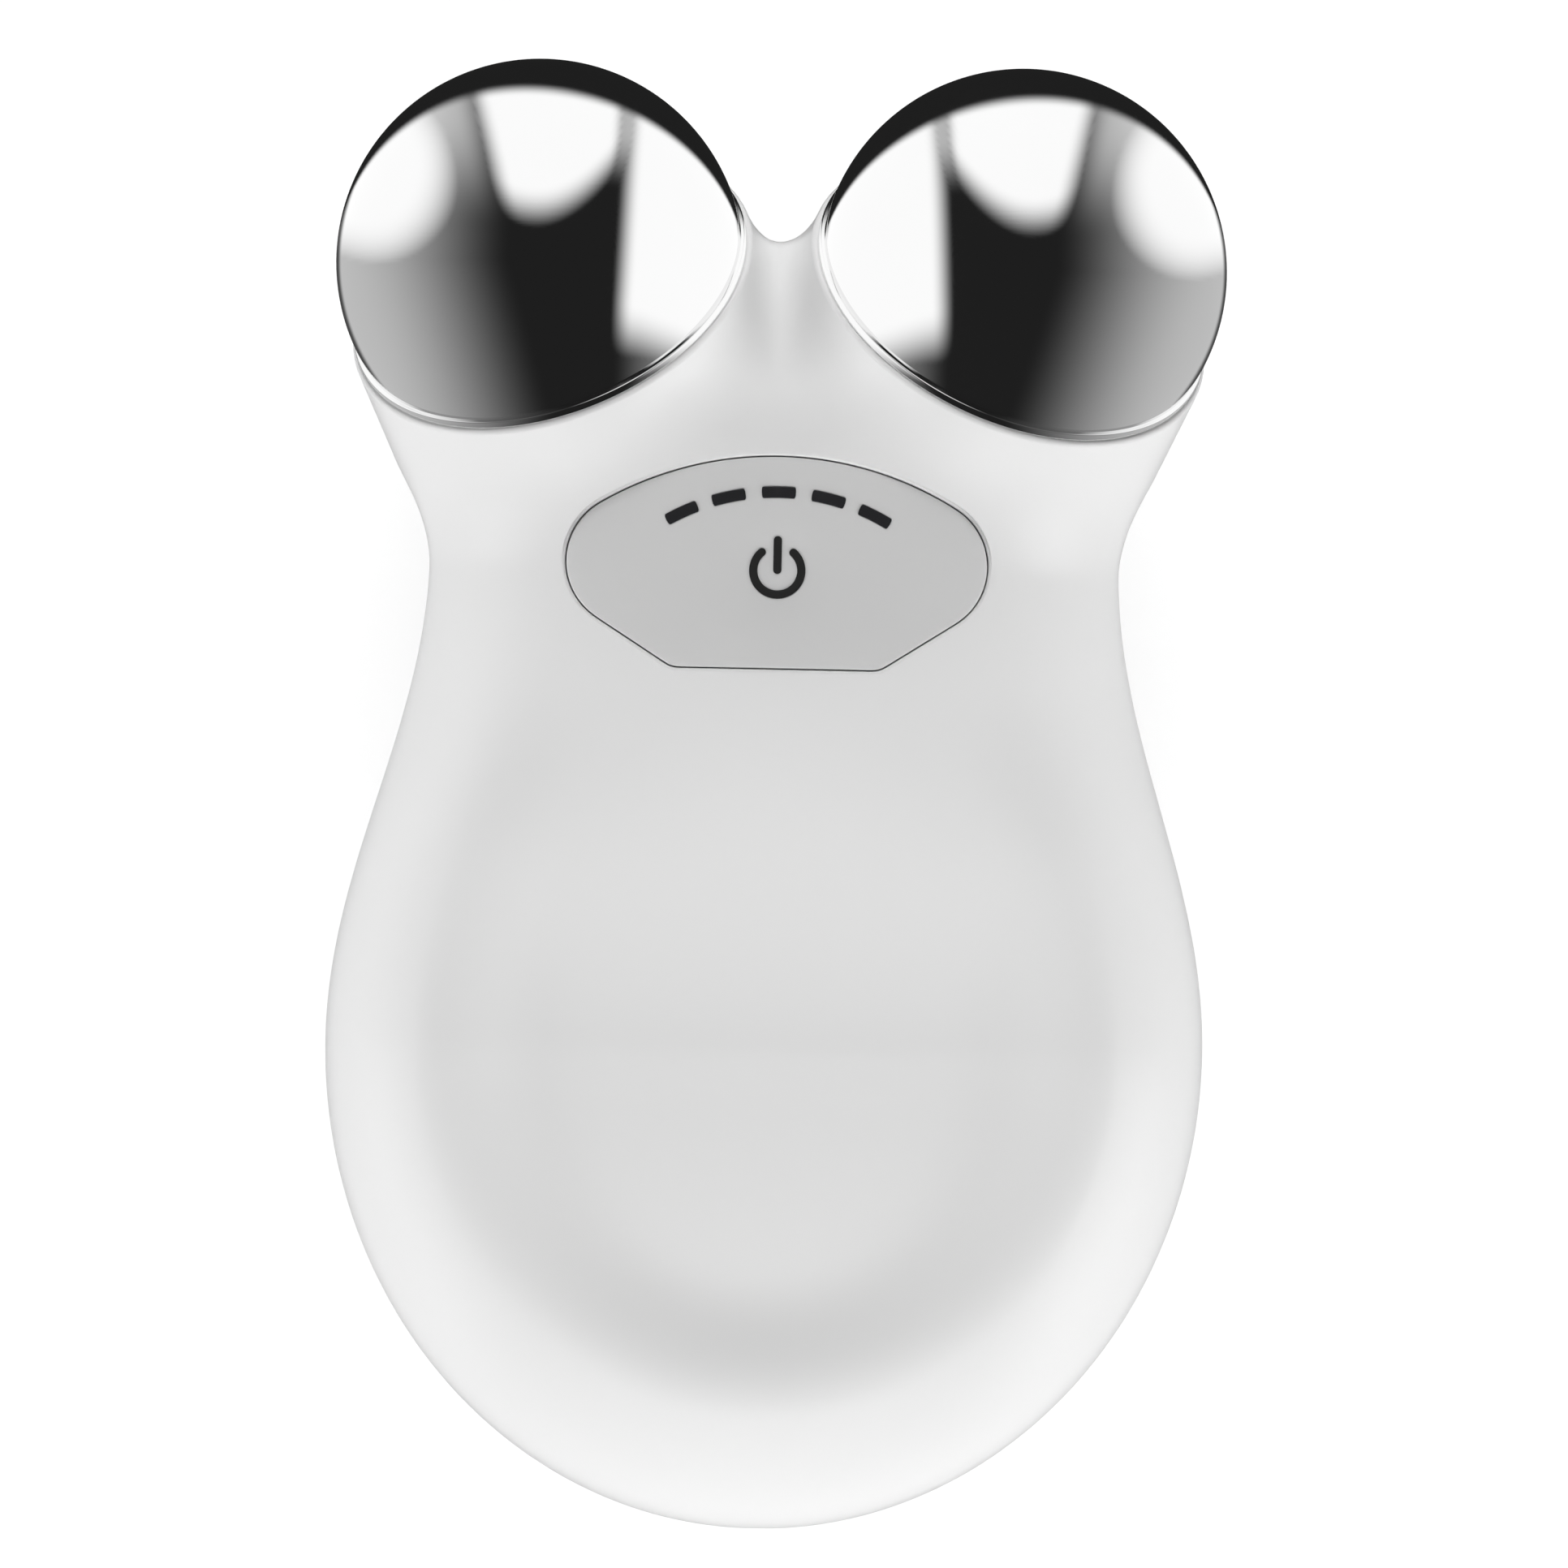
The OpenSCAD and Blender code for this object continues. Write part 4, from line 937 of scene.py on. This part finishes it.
    def execute(self, context):
        case = context.scene.toning_case
        shape = CaseShape(context.scene)
        whole = skin_object("whole", *shape.skin())
        opening, pocket = self.key_tools(shape, context.scene)
        tools = (self.cavity(shape), self.mouth(shape, -1), self.mouth(shape, 1), opening, pocket)
        carve(whole, *[("DIFFERENCE", tool) for tool in tools], *self.holes(shape))
        front, rear = self.halves(shape, whole)
        low, high = (np.array(corner) / MM + (0, MID_AT, 0) for corner in CAD_BOX)
        white = finish_material("Shell Plastic", case.colour, case.gloss, shift=0.02, cloud=45, spread=0.04,
                                grain=3200, depth=0.05, ior=1.48)
        for obj, name in ((front, "front_shell_skin"), (rear, "rear_shell_skin")):
            true_normals(obj, shape)
            co = np.zeros(len(obj.data.vertices) * 3, np.float32)
            obj.data.vertices.foreach_get("co", co)
            kept_in = np.clip(co.reshape(-1, 3), low + BOX_ROOM, high - BOX_ROOM)
            obj.data.vertices.foreach_set("co", kept_in.astype(np.float32).ravel())
            place(obj, name)
            dress(obj, white)
            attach(obj, "case")
        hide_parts("front_shell")
        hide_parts("rear_shell")
        return {"FINISHED"}


def lathe_at(name, at, profile, steps=48):
    obj = lathe(name, profile, steps)
    obj.data.transform(Matrix.Translation((at[0], at[1], 0)))
    return obj


def well_mouth(shape, at):
    """Height of the back of the case over a screw hole."""
    return float(shape.split(at[1]) - shape.back(at[1])
                 * (1 - abs(at[0] / float(shape.broad(at[1]))) ** BACK_POWER) ** (1 / BACK_POWER)) + 0.5


class TONING_OT_electrodes(bpy.types.Operator):
    """Builds both chrome domes with their spigots"""
    bl_idname = "toning.electrodes"
    bl_label = "Build Electrodes"

    def execute(self, context):
        shape = CaseShape(context.scene)
        tip = context.scene.toning_electrodes
        r, rim, inside = shape.ball_r, -RIM_BACK, shape.ball_r - DOME_WALL
        spigot, web = shape.bore_r - SPIGOT_PLAY, -RIM_BACK - WEB_BACK
        flange, top = r + FLANGE_OUT, -RIM_BACK + FLANGE_HIGH
        low = math.degrees(math.asin((top + 0.05) / r))
        outer = list(arc(0, 0, r, 90, low, 88))
        outer[0] = (0, r)
        outer += arc(flange - 0.12, top - 0.12, 0.12, 80, 0, 6)
        outer += arc(flange - 0.1, rim + 0.1, 0.1, 0, -90, 4)
        groove = ((0, 0), (0, 1.55), (-0.9, 1.55), (-0.9, 2.45), (0, 2.45))
        bead = ((0, 3.1), (0.3, 3.1), (0.55, 3.4), (0.3, 3.9), (0, 3.9))
        outer += [(spigot + out, rim - back) for out, back in groove + bead]
        outer += [(spigot, web + 0.3), (spigot - 0.3, web), (0.87, web), (0.87, web + 3.1), (0, web + 3.1)]
        void = list(arc(0, 0, inside, 90, math.degrees(math.asin(top / inside)), 40))
        void[0] = (0, inside)
        void += [(spigot - 1.8, top), (spigot - 1.8, web + 1.2), (3, web + 1.2), (3, web + 3.4),
                 (0, web + 3.4)]
        chrome = finish_material("Polished Chrome", tip.colour, tip.gloss, metal=1.0, shift=0.03, cloud=90,
                                 spread=0.05, grain=900, depth=0.01, pattern=polish)
        for side, node in ((-1, "left_electrode"), (1, "right_electrode")):
            dome = lathe(node + "_dome", outer, 192)
            carve(dome, ("DIFFERENCE", lathe("void", void, 96)))
            dome.data.transform(shape.axis_matrix(side))
            hand_over(dome, node + "_dome", chrome, "case", node)
        return {"FINISHED"}


class TONING_OT_key(bpy.types.Operator):
    """Builds the key with its level windows and power symbol"""
    bl_idname = "toning.key"
    bl_label = "Build Key"

    def execute(self, context):
        shape = CaseShape(context.scene)
        key = context.scene.toning_key
        outline, edge = key_outline(), key.edge / MM
        deep = key.dimple / MM

        def dimple(at):
            out = np.linalg.norm(at - KEY_CENTRE, axis=1)
            return deep * np.exp(-(out / 2.6) ** 4)

        sunk = 0.06
        rings = []
        for t in np.radians([84, 70, 55, 40, 25, 12, 0]):
            rings.append(key_ring(shape, outline, -edge * (1 - math.cos(t)), sunk + edge * (1 - math.sin(t))))
        skirt = ((0, 1.2), (0, 1.95), (1.2, 1.95), (1.2, 3.1), (-1.2, 3.1), (-1.2, 1.4))
        rings += [key_ring(shape, outline, out, depth) for out, depth in skirt]
        rings += key_rings_in(shape, outline, -1.2, 1.4, 8)
        top = key_rings_in(shape, outline, -edge, sunk, 44, dimple)
        cap = loft("key_cap", top[::-1] + rings)
        plunger_end = 22 + 3.5 + 1.5
        windows = [stroke("window", shape, window_path(a), WINDOW_H, 0.015, 1.75,
                          blunt=WINDOW_BLUNT) for a in WINDOW_TURNS]
        slots = [stroke("slot", shape, window_path(a), WINDOW_H + 0.03, 1, 2.2, 0.01,
                        blunt=WINDOW_BLUNT) for a in WINDOW_TURNS]
        marks = [stroke("mark", shape, p, SYMBOL_STROKE, 0.012, 0.7, 0.03, dimple) for p in symbol_paths()]
        wells = [stroke("well", shape, p, SYMBOL_STROKE + 0.02, 0.8, 0.72, 0.01, dimple)
                 for p in symbol_paths()]
        carve(cap, ("UNION", post("stem", KEY_CENTRE, 1.75, plunger_end + 0.05, 29)),
              *[("DIFFERENCE", tool) for tool in slots + wells])
        guide = []
        for a in np.radians(np.linspace(-31, 31, 60)):
            ring = []
            for off, depth in ((-0.7, 1.42), (0.7, 1.42), (0.7, 2.0), (-0.7, 2.0)):
                x, y = on_window_arc(a, WINDOW_ARC_R + off)
                ring.append((x, y, float(shape.face_z(x, y)) - depth))
            guide.append(ring)
        bars = carve(loft("windows", guide), *[("UNION", tool) for tool in windows])
        symbol = carve(marks[0], ("UNION", marks[1]))
        key_plastic = finish_material("Key Plastic", key.colour, 0.34, shift=0.03, cloud=120, spread=0.05,
                                      grain=4200, depth=0.12)
        smoked = finish_material("Smoked Lens", (0.022, 0.022, 0.024), 0.12, shift=0.3, cloud=400,
                                 spread=0.06, grain=2000, depth=0.02, coat=0.5)
        ink = finish_material("Printed Ink", key.ink, 0.42, shift=0.2, cloud=900, spread=0.15, grain=5000,
                              depth=0.1)
        for obj, name, node, material, slot in (
                (cap, "key_cap", "key_panel", key_plastic, "key_grey"),
                (bars, "level_lenses", "level_windows", smoked, "smoked_plastic"),
                (symbol, "power_mark", "power_symbol", ink, "black_ink")):
            hand_over(obj, name, material, "key", node, angle=32)
        return {"FINISHED"}


class TONING_OT_port(bpy.types.Operator):
    """Builds the charging port's folded shell and its tongue"""
    bl_idname = "toning.port"
    bl_label = "Build Charging Port"

    def execute(self, context):
        w, z0, z1 = PORT_W / 2, PORT_Z, PORT_Z + PORT_H
        y0, y1 = PORT_AT, PORT_AT + PORT_LEN

        def section(inset):
            cut = 0.7
            return [(-w + inset, z1 - inset), (-w + inset, z0 + cut), (-w + cut + inset * 0.6, z0 + inset),
                    (w - cut - inset * 0.6, z0 + inset), (w - inset, z0 + cut), (w - inset, z1 - inset)]

        def prism(name, inset, rows):
            return loft(name, [[(x, y, z) for x, z in section(inset + grow)] for y, grow in rows])

        shell = prism("port_shell", 0, ((y0, 0.06), (y0 + 0.08, 0), (y1, 0)))
        hollow = prism("port_hollow", 0.3, ((y0 - 0.5, -0.1), (y0, -0.1), (y0 + 0.15, 0), (y1 - 0.3, 0)))
        carve(shell, ("DIFFERENCE", hollow),
              *[("DIFFERENCE", block("latch", (x - 0.45, y0 + 1.6, z1 - 0.5), (x + 0.45, y0 + 3.0, z1 + 0.5)))
                for x in (-1.9, 1.9)])
        tongue = carve(
            block("port_block", (-w + 0.45, y1 - 1.6, z0 + 0.9), (w - 0.45, y1 - 0.35, z1 - 0.32), 0.2),
            ("UNION", block("blade", (-1.8, y0 + 0.8, z0 + 1.2), (1.8, y1 - 1, z0 + 1.8), 0.12)))
        pins = None
        for i in range(5):
            x = (i - 2) * 0.65
            pin = block(f"pin{i}", (x - 0.13, y0 + 1.0, z0 + 1.12), (x + 0.13, y1 - 1.2, z0 + 1.26), 0.04)
            pins = carve(pins, ("UNION", pin)) if pins else pin
        steel = finish_material("Port Steel", (0.56, 0.57, 0.58), 0.25, metal=1.0, shift=0.1, cloud=300,
                                depth=0.05)
        black = finish_material("Black Resin", (0.02, 0.02, 0.02), 0.5, shift=0.2, cloud=300, depth=0.15)
        gold = finish_material("Gold Contacts", (0.83, 0.61, 0.27), 0.22, metal=1.0, shift=0.1, cloud=500,
                               depth=0.04)
        for obj, name, material, slot, node in (
                (shell, "port_sleeve", steel, "steel", "usb_port_shell"),
                (tongue, "port_blade", black, "black_plastic", "usb_port_tongue"),
                (pins, "port_pins", gold, "brass", None)):
            hand_over(obj, name, material, "case", node)
        return {"FINISHED"}


class TONING_OT_screws(bpy.types.Operator):
    """Builds the four case screws in their wells"""
    bl_idname = "toning.screws"
    bl_label = "Build Case Screws"

    def execute(self, context):
        shape = CaseShape(context.scene)
        made = None
        for at in CASE_HOLES:
            seat = shape.split(at[1]) - SEAT_BACK
            base = seat - HEAD_H
            head = [(0, base), (HEAD_R - 0.55, base)] + arc(HEAD_R - 0.55, base + 0.55, 0.55, -80, 0, 6)
            profile = head + [(HEAD_R, seat), (SHANK_R, seat), (SHANK_R, seat + SCREW_LEN - 0.6),
                              (0.35, seat + SCREW_LEN), (0, seat + SCREW_LEN)]
            screw = lathe_at("screw", at, profile, 64)
            tools = []
            for wide, tall in ((1.3, 0.3), (0.3, 1.3)):
                low, high = (wide, tall), (wide * 0.45, tall * 0.45)
                rings = []
                for (a, b), z in ((low, base - 0.3), (low, base), (high, base + 0.95)):
                    rings.append([(at[0] + x, at[1] + y, z) for x, y in ((-a, -b), (a, -b), (a, b), (-a, b))])
                tools.append(("DIFFERENCE", loft("cross", rings)))
            carve(screw, *tools)
            made = carve(made, ("UNION", screw)) if made else screw
        steel = finish_material("Screw Steel", (0.42, 0.43, 0.45), 0.3, metal=1.0, shift=0.15, cloud=400,
                                spread=0.12, depth=0.08, pattern=thread)
        hand_over(made, "shell_screw_set", steel, "case", "case_screws")
        return {"FINISHED"}


INSIDE = {
    "Seal Rubber": (("left_electrode_seal", "right_electrode_seal"), (0.03, 0.03, 0.03), 0.6, 0.0, None),
    "Small Steel": (("contact_screws", "board_screws"), (0.5, 0.5, 0.52), 0.3, 1.0, thread),
    "Terminal Brass": (("ring_terminals",), (0.72, 0.53, 0.25), 0.28, 1.0, None),
    "Lead Sleeve Grey": (("left_electrode_lead", "right_electrode_lead"), (0.22, 0.22, 0.23), 0.45, 0.0,
                         None),
    "Lead Sleeve Red": (("battery_lead_red", "charge_leads"), (0.55, 0.03, 0.02), 0.42, 0.0, None),
    "Lead Sleeve Black": (("battery_lead_black",), (0.02, 0.02, 0.02), 0.42, 0.0, None),
    "Black Housing": (("switch_body", "switch_plunger", "buzzer"), (0.025, 0.025, 0.026), 0.4, 0.0, None),
    "Chip Epoxy": (("microcontroller", "charge_components"), (0.03, 0.03, 0.032), 0.55, 0.0, None),
    "Solder Mask": (("circuit_board", "charge_board"), (0.02, 0.15, 0.06), 0.3, 0.0, traces),
    "Lamp Resin": (("level_leds",), (0.78, 0.74, 0.58), 0.3, 0.0, None),
    "Magnet Wire": (("output_coil",), (0.42, 0.16, 0.07), 0.35, 0.6, winding),
    "Ceramic": (("board_components",), (0.48, 0.36, 0.24), 0.5, 0.0, None),
    "Pouch Foil": (("battery_cell",), (0.66, 0.67, 0.69), 0.32, 0.9, foil),
    "Pad Foam": (("battery_pad",), (0.10, 0.10, 0.11), 0.9, 0.0, foam),
    "Ivory Nylon": (("battery_header", "battery_plug"), (0.74, 0.71, 0.62), 0.45, 0.0, None),
}


class TONING_OT_inside(bpy.types.Operator):
    """Gives every part inside the case its own material"""
    bl_idname = "toning.inside"
    bl_label = "Finish Inner Parts"

    def execute(self, context):
        for name, (nodes, tone, gloss, metal, pattern) in INSIDE.items():
            material = finish_material(name, tone, gloss, metal=metal, shift=0.12, cloud=350, spread=0.1,
                                       grain=2600, depth=0.12, pattern=pattern)
            for node in nodes:
                dress(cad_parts[node], material)
        return {"FINISHED"}


AIM_Z = 0.015       # height that the camera and the lamps look at, in metres


def clear_tree(holder):
    """Node tree of a material or the world, emptied."""
    holder.use_nodes = True
    nodes, links = holder.node_tree.nodes, holder.node_tree.links
    nodes.clear()
    return nodes, links


def seen_rays(nodes, links):
    """1 for rays from the camera, a mirror or a lens, and 0 for the light that falls on things."""
    ray = nodes.new("ShaderNodeLightPath").outputs
    seen = math_node(nodes, links, "MAXIMUM", ray["Is Camera Ray"], ray["Is Glossy Ray"])
    return math_node(nodes, links, "MAXIMUM", seen, ray["Is Transmission Ray"])


class TONING_OT_stage(bpy.types.Operator):
    """Sets the floor, the soft light, the painted reflection sheets and the camera"""
    bl_idname = "toning.stage"
    bl_label = "Set Stage"

    def floor(self):
        """Near white to the camera, plain grey to the light that comes off it."""
        mesh = bpy.data.meshes.new("floor")
        reach, drop = 3.0, 0.00002
        mesh.from_pydata([(-reach, -reach, 0), (reach, -reach, 0), (reach, reach, 0), (-reach, reach, 0)], [],
                         [(0, 1, 2, 3)])
        floor = link("floor", mesh)
        floor.location.z = -drop
        material = bpy.data.materials.new("Pale Floor")
        nodes, links = clear_tree(material)
        out = nodes.new("ShaderNodeOutputMaterial")
        matt, plain = nodes.new("ShaderNodeBsdfDiffuse"), nodes.new("ShaderNodeBsdfDiffuse")
        glow, both = nodes.new("ShaderNodeEmission"), nodes.new("ShaderNodeAddShader")
        for node, tone in ((matt, 0.5), (glow, 0.66), (plain, 0.8)):
            node.inputs["Color"].default_value = (tone, tone, tone, 1)
        pick = nodes.new("ShaderNodeMixShader")
        links.new(matt.outputs[0], both.inputs[0])
        links.new(glow.outputs[0], both.inputs[1])
        links.new(seen_rays(nodes, links), pick.inputs[0])
        links.new(plain.outputs[0], pick.inputs[1])
        links.new(both.outputs[0], pick.inputs[2])
        links.new(pick.outputs[0], out.inputs["Surface"])
        mesh.materials.append(material)

    def painted_reflection_tone(self, u, v):
        """Painted reflection: the tone mirrored by the left dome at a place on it, in radii toward its twin
        and toward the head.
        """
        # Painted reflection tones: white for the painted highlights, black for the painted dark parts.
        white, black = 1.12, 0.015
        edge = u - 0.04 * v
        # inner, crown and outer are painted highlights, standing in for softboxes seen in the dome.
        inner = white * span(edge, 0.35, 0.47) * span(v + 0.35 * u, -0.36, -0.04)
        crown = (white * span(v - 1.8 * (u + 0.03) ** 2, 0.14, 0.36) * span(u + 0.26 * v, -0.18, -0.04)
                 * (1 - span(edge, 0.30, 0.40)))
        outer = white * (1 - span(((u + 0.82) / 0.40) ** 2 + ((v - 0.46) / 0.50) ** 2, 0.25, 1.50))
        # dusk and the two gaps are painted dim reflection.
        lean = u + 0.3 * np.minimum(v, 0)
        dusk = 0.55 * (1 - span(lean, -1.0, -0.14)) + 0.16 * span(u, 0.36, 0.60)
        outer_gap = 0.40 * span(v, 0.15, 0.75) * (1 - span(u + 0.2 * v, -0.28, -0.10))
        inner_gap = 0.5 * span(v, 0.35, 0.65) * span(u, 0.25, 0.40)
        rest = dusk + (outer_gap + inner_gap) + black
        # brow is the painted dark crescent at the top of the dome, and rim its painted dark outline.
        brow = span(v / np.sqrt(np.maximum(1 - u * u, 0.01)) + 0.06 * u, 0.80, 0.87)
        rim = span(np.hypot(u, v), 0.972, 0.992)
        return mix(np.maximum.reduce([inner, crown, outer, rest]), black, np.maximum(brow, 0.9 * rim))

    def painted_reflection_sheet(self, name, shape, side):
        """Painted reflection sheet, seen only in glossy surfaces, that glows though it is no lamp: it stands
        where the camera's rays land once they leave the dome, on the floor, a far ball or x = 0."""
        out, turn = np.meshgrid(np.sin(np.linspace(0, 1.52, PAINTED_SHEET_ROWS)),
                                np.linspace(0, 2 * math.pi, PAINTED_SHEET_TURNS, endpoint=False), indexing="ij")
        face = np.stack([out * np.sin(turn), out * np.cos(turn), np.sqrt(1 - out * out)], -1).reshape(-1, 3)
        ray = 2 * face * face[:, 2:] - (0, 0, 1)
        start = np.array([-BALL_X, BALL_AT - MID_AT, BALL_Z]) + shape.ball_r * face
        from_middle = start - (0, BALL_AT - MID_AT, 0)
        along = (from_middle * ray).sum(1)
        reach = np.sqrt(along ** 2 + PAINTED_SHEET_R ** 2 - (from_middle ** 2).sum(1)) - along
        for axis, stop, toward in ((2, PAINTED_SHEET_FLOOR, -1), (0, 0.0, 1)):
            speed = ray[:, axis] * toward
            there = (stop - start[:, axis]) * toward / np.maximum(speed, 1e-9)
            reach = np.where(speed > 1e-9, np.minimum(reach, there), reach)
        points = start + ray * reach[:, None]
        points[-PAINTED_SHEET_TURNS:, :2] = start[0, :2]
        points = points * (-side, 1, 1) * MM
        faces = [(i * PAINTED_SHEET_TURNS + j, i * PAINTED_SHEET_TURNS + k, (i + 1) * PAINTED_SHEET_TURNS + k, (i + 1) * PAINTED_SHEET_TURNS + j)
                 for i in range(PAINTED_SHEET_ROWS - 1) for j, k in zip(range(PAINTED_SHEET_TURNS), [*range(1, PAINTED_SHEET_TURNS), 0])]
        mesh = bpy.data.meshes.new(name)
        mesh.from_pydata(points.tolist(), [], faces)
        colours = np.ones((len(points), 4), np.float32)
        # Each point glows with the painted reflection tone of the dome point whose mirrored ray lands there.
        colours[:, :3] = self.painted_reflection_tone(face[:, 0], face[:, 1])[:, None]
        mesh.color_attributes.new("glow", "FLOAT_COLOR", "POINT").data.foreach_set("color", colours.ravel())
        sheet = link(name, mesh)
        sheet.visible_camera = sheet.visible_diffuse = sheet.visible_shadow = False
        sheet.visible_transmission = sheet.visible_volume_scatter = False
        # The emission paints the reflection; the sheet lights nothing but what glossy surfaces show.
        material = bpy.data.materials.new(name)
        nodes, links = clear_tree(material)
        sink, glow = nodes.new("ShaderNodeOutputMaterial"), nodes.new("ShaderNodeEmission")
        level = nodes.new("ShaderNodeAttribute")
        level.attribute_name = "glow"
        links.new(level.outputs["Color"], glow.inputs["Color"])
        links.new(glow.outputs[0], sink.inputs["Surface"])
        mesh.materials.append(material)

    def lamp(self, name, at, size, power):
        """Softbox turned to the middle of the object, which no mirror shows."""
        data = bpy.data.lights.new(name, "AREA")
        data.shape, data.size, data.size_y = "RECTANGLE", size[0], size[1]
        data.energy = power
        lamp = bpy.data.objects.new(name, data)
        bpy.context.scene.collection.objects.link(lamp)
        lamp.location = at
        lamp.rotation_mode = "QUATERNION"
        lamp.rotation_quaternion = (Vector((0, 0, AIM_Z)) - Vector(at)).to_track_quat("-Z", "Y")
        lamp.visible_glossy = lamp.visible_camera = False

    def world(self):
        world = bpy.context.scene.world or bpy.data.worlds.new("Studio")
        bpy.context.scene.world = world
        nodes, links = clear_tree(world)
        out, pick = nodes.new("ShaderNodeOutputWorld"), nodes.new("ShaderNodeMixShader")
        dim, bright = nodes.new("ShaderNodeBackground"), nodes.new("ShaderNodeBackground")
        dim.inputs["Strength"].default_value = 0.10
        bright.inputs["Strength"].default_value = 1.0
        for back in (dim, bright):
            back.inputs["Color"].default_value = (1, 1, 1, 1)
        links.new(seen_rays(nodes, links), pick.inputs[0])
        links.new(dim.outputs[0], pick.inputs[1])
        links.new(bright.outputs[0], pick.inputs[2])
        links.new(pick.outputs[0], out.inputs["Surface"])

    def camera(self, stage):
        data = bpy.data.cameras.new("camera")
        data.sensor_width = 36
        data.lens = 36 * stage.distance / stage.frame_width
        data.clip_start, data.clip_end = 0.01, 10
        camera = bpy.data.objects.new("camera", data)
        bpy.context.scene.collection.objects.link(camera)
        target = Vector((stage.centre_x, stage.centre_y, AIM_Z))
        turn = Matrix.Rotation(-stage.yaw, 4, "Y") @ Matrix.Rotation(stage.roll, 4, "Z")
        camera.matrix_world = Matrix.Translation(target) @ turn @ Matrix.Translation((0, 0, stage.distance))
        bpy.context.scene.camera = camera

    def execute(self, context):
        stage = context.scene.toning_stage
        context.scene.view_settings.view_transform = "Standard"
        self.floor()
        self.world()
        wide, small = (0.6, 0.6), (0.2, 0.2)
        for name, at, size, power in (
                ("top_softbox", (0, 0.7, 0.5), wide, 1.9), ("over_softbox", (0, 0, 0.9), wide, 0.7),
                ("left_low_softbox", (-0.7, -0.4, 0.12), wide, 5.1),
                ("right_low_softbox", (0.7, -0.4, 0.12), wide, 7.1),
                ("left_flat_softbox", (-0.85, 0, 0.08), wide, 2.3),
                ("near_top_softbox", (0, 0.24, 0.17), small, 0.24),
                ("near_low_softbox", (0, -0.28, 0.14), small, 0.31)):
            self.lamp(name, at, size, power * stage.light)
        shape = CaseShape(context.scene)
        # Two glowing sheets carrying the painted reflection of each dome.
        self.painted_reflection_sheet("left_painted_reflection_sheet", shape, -1)
        self.painted_reflection_sheet("right_painted_reflection_sheet", shape, 1)
        self.camera(stage)
        return {"FINISHED"}


class TONING_PT_panel(bpy.types.Panel):
    """Sizes, colours and build steps of the toning device"""
    bl_idname = "TONING_PT_panel"
    bl_label = "Toning Device"
    bl_space_type = "VIEW_3D"
    bl_region_type = "UI"
    bl_category = "Toning Device"

    def draw(self, context):
        layout = self.layout
        for attribute, title in (("toning_case", "Case"), ("toning_electrodes", "Electrodes"),
                                 ("toning_key", "Key"), ("toning_stage", "Stage")):
            box = layout.box()
            box.label(text=title)
            group = getattr(context.scene, attribute)
            for name in group.bl_rna.properties.keys():
                if name not in ("rna_type", "name"):
                    box.prop(group, name)
        for operator in OPERATORS:
            layout.operator(operator.bl_idname)


GROUPS = {"toning_case": ToningCase, "toning_electrodes": ToningElectrodes,
          "toning_key": ToningKey, "toning_stage": ToningStage}
OPERATORS = (TONING_OT_case, TONING_OT_electrodes, TONING_OT_key, TONING_OT_port,
             TONING_OT_screws, TONING_OT_inside, TONING_OT_stage)


def register():
    for attribute, group in GROUPS.items():
        bpy.utils.register_class(group)
        setattr(bpy.types.Scene, attribute, PointerProperty(type=group))
    for operator in (*OPERATORS, TONING_PT_panel):
        bpy.utils.register_class(operator)


def unregister():
    for operator in reversed((*OPERATORS, TONING_PT_panel)):
        bpy.utils.unregister_class(operator)
    for attribute, group in reversed(list(GROUPS.items())):
        delattr(bpy.types.Scene, attribute)
        bpy.utils.unregister_class(group)


def main():
    register()
    bpy.ops.toning.case()
    bpy.ops.toning.electrodes()
    bpy.ops.toning.key()
    bpy.ops.toning.port()
    bpy.ops.toning.screws()
    bpy.ops.toning.inside()
    bpy.ops.toning.stage()


if __name__ == "__main__":
    main()
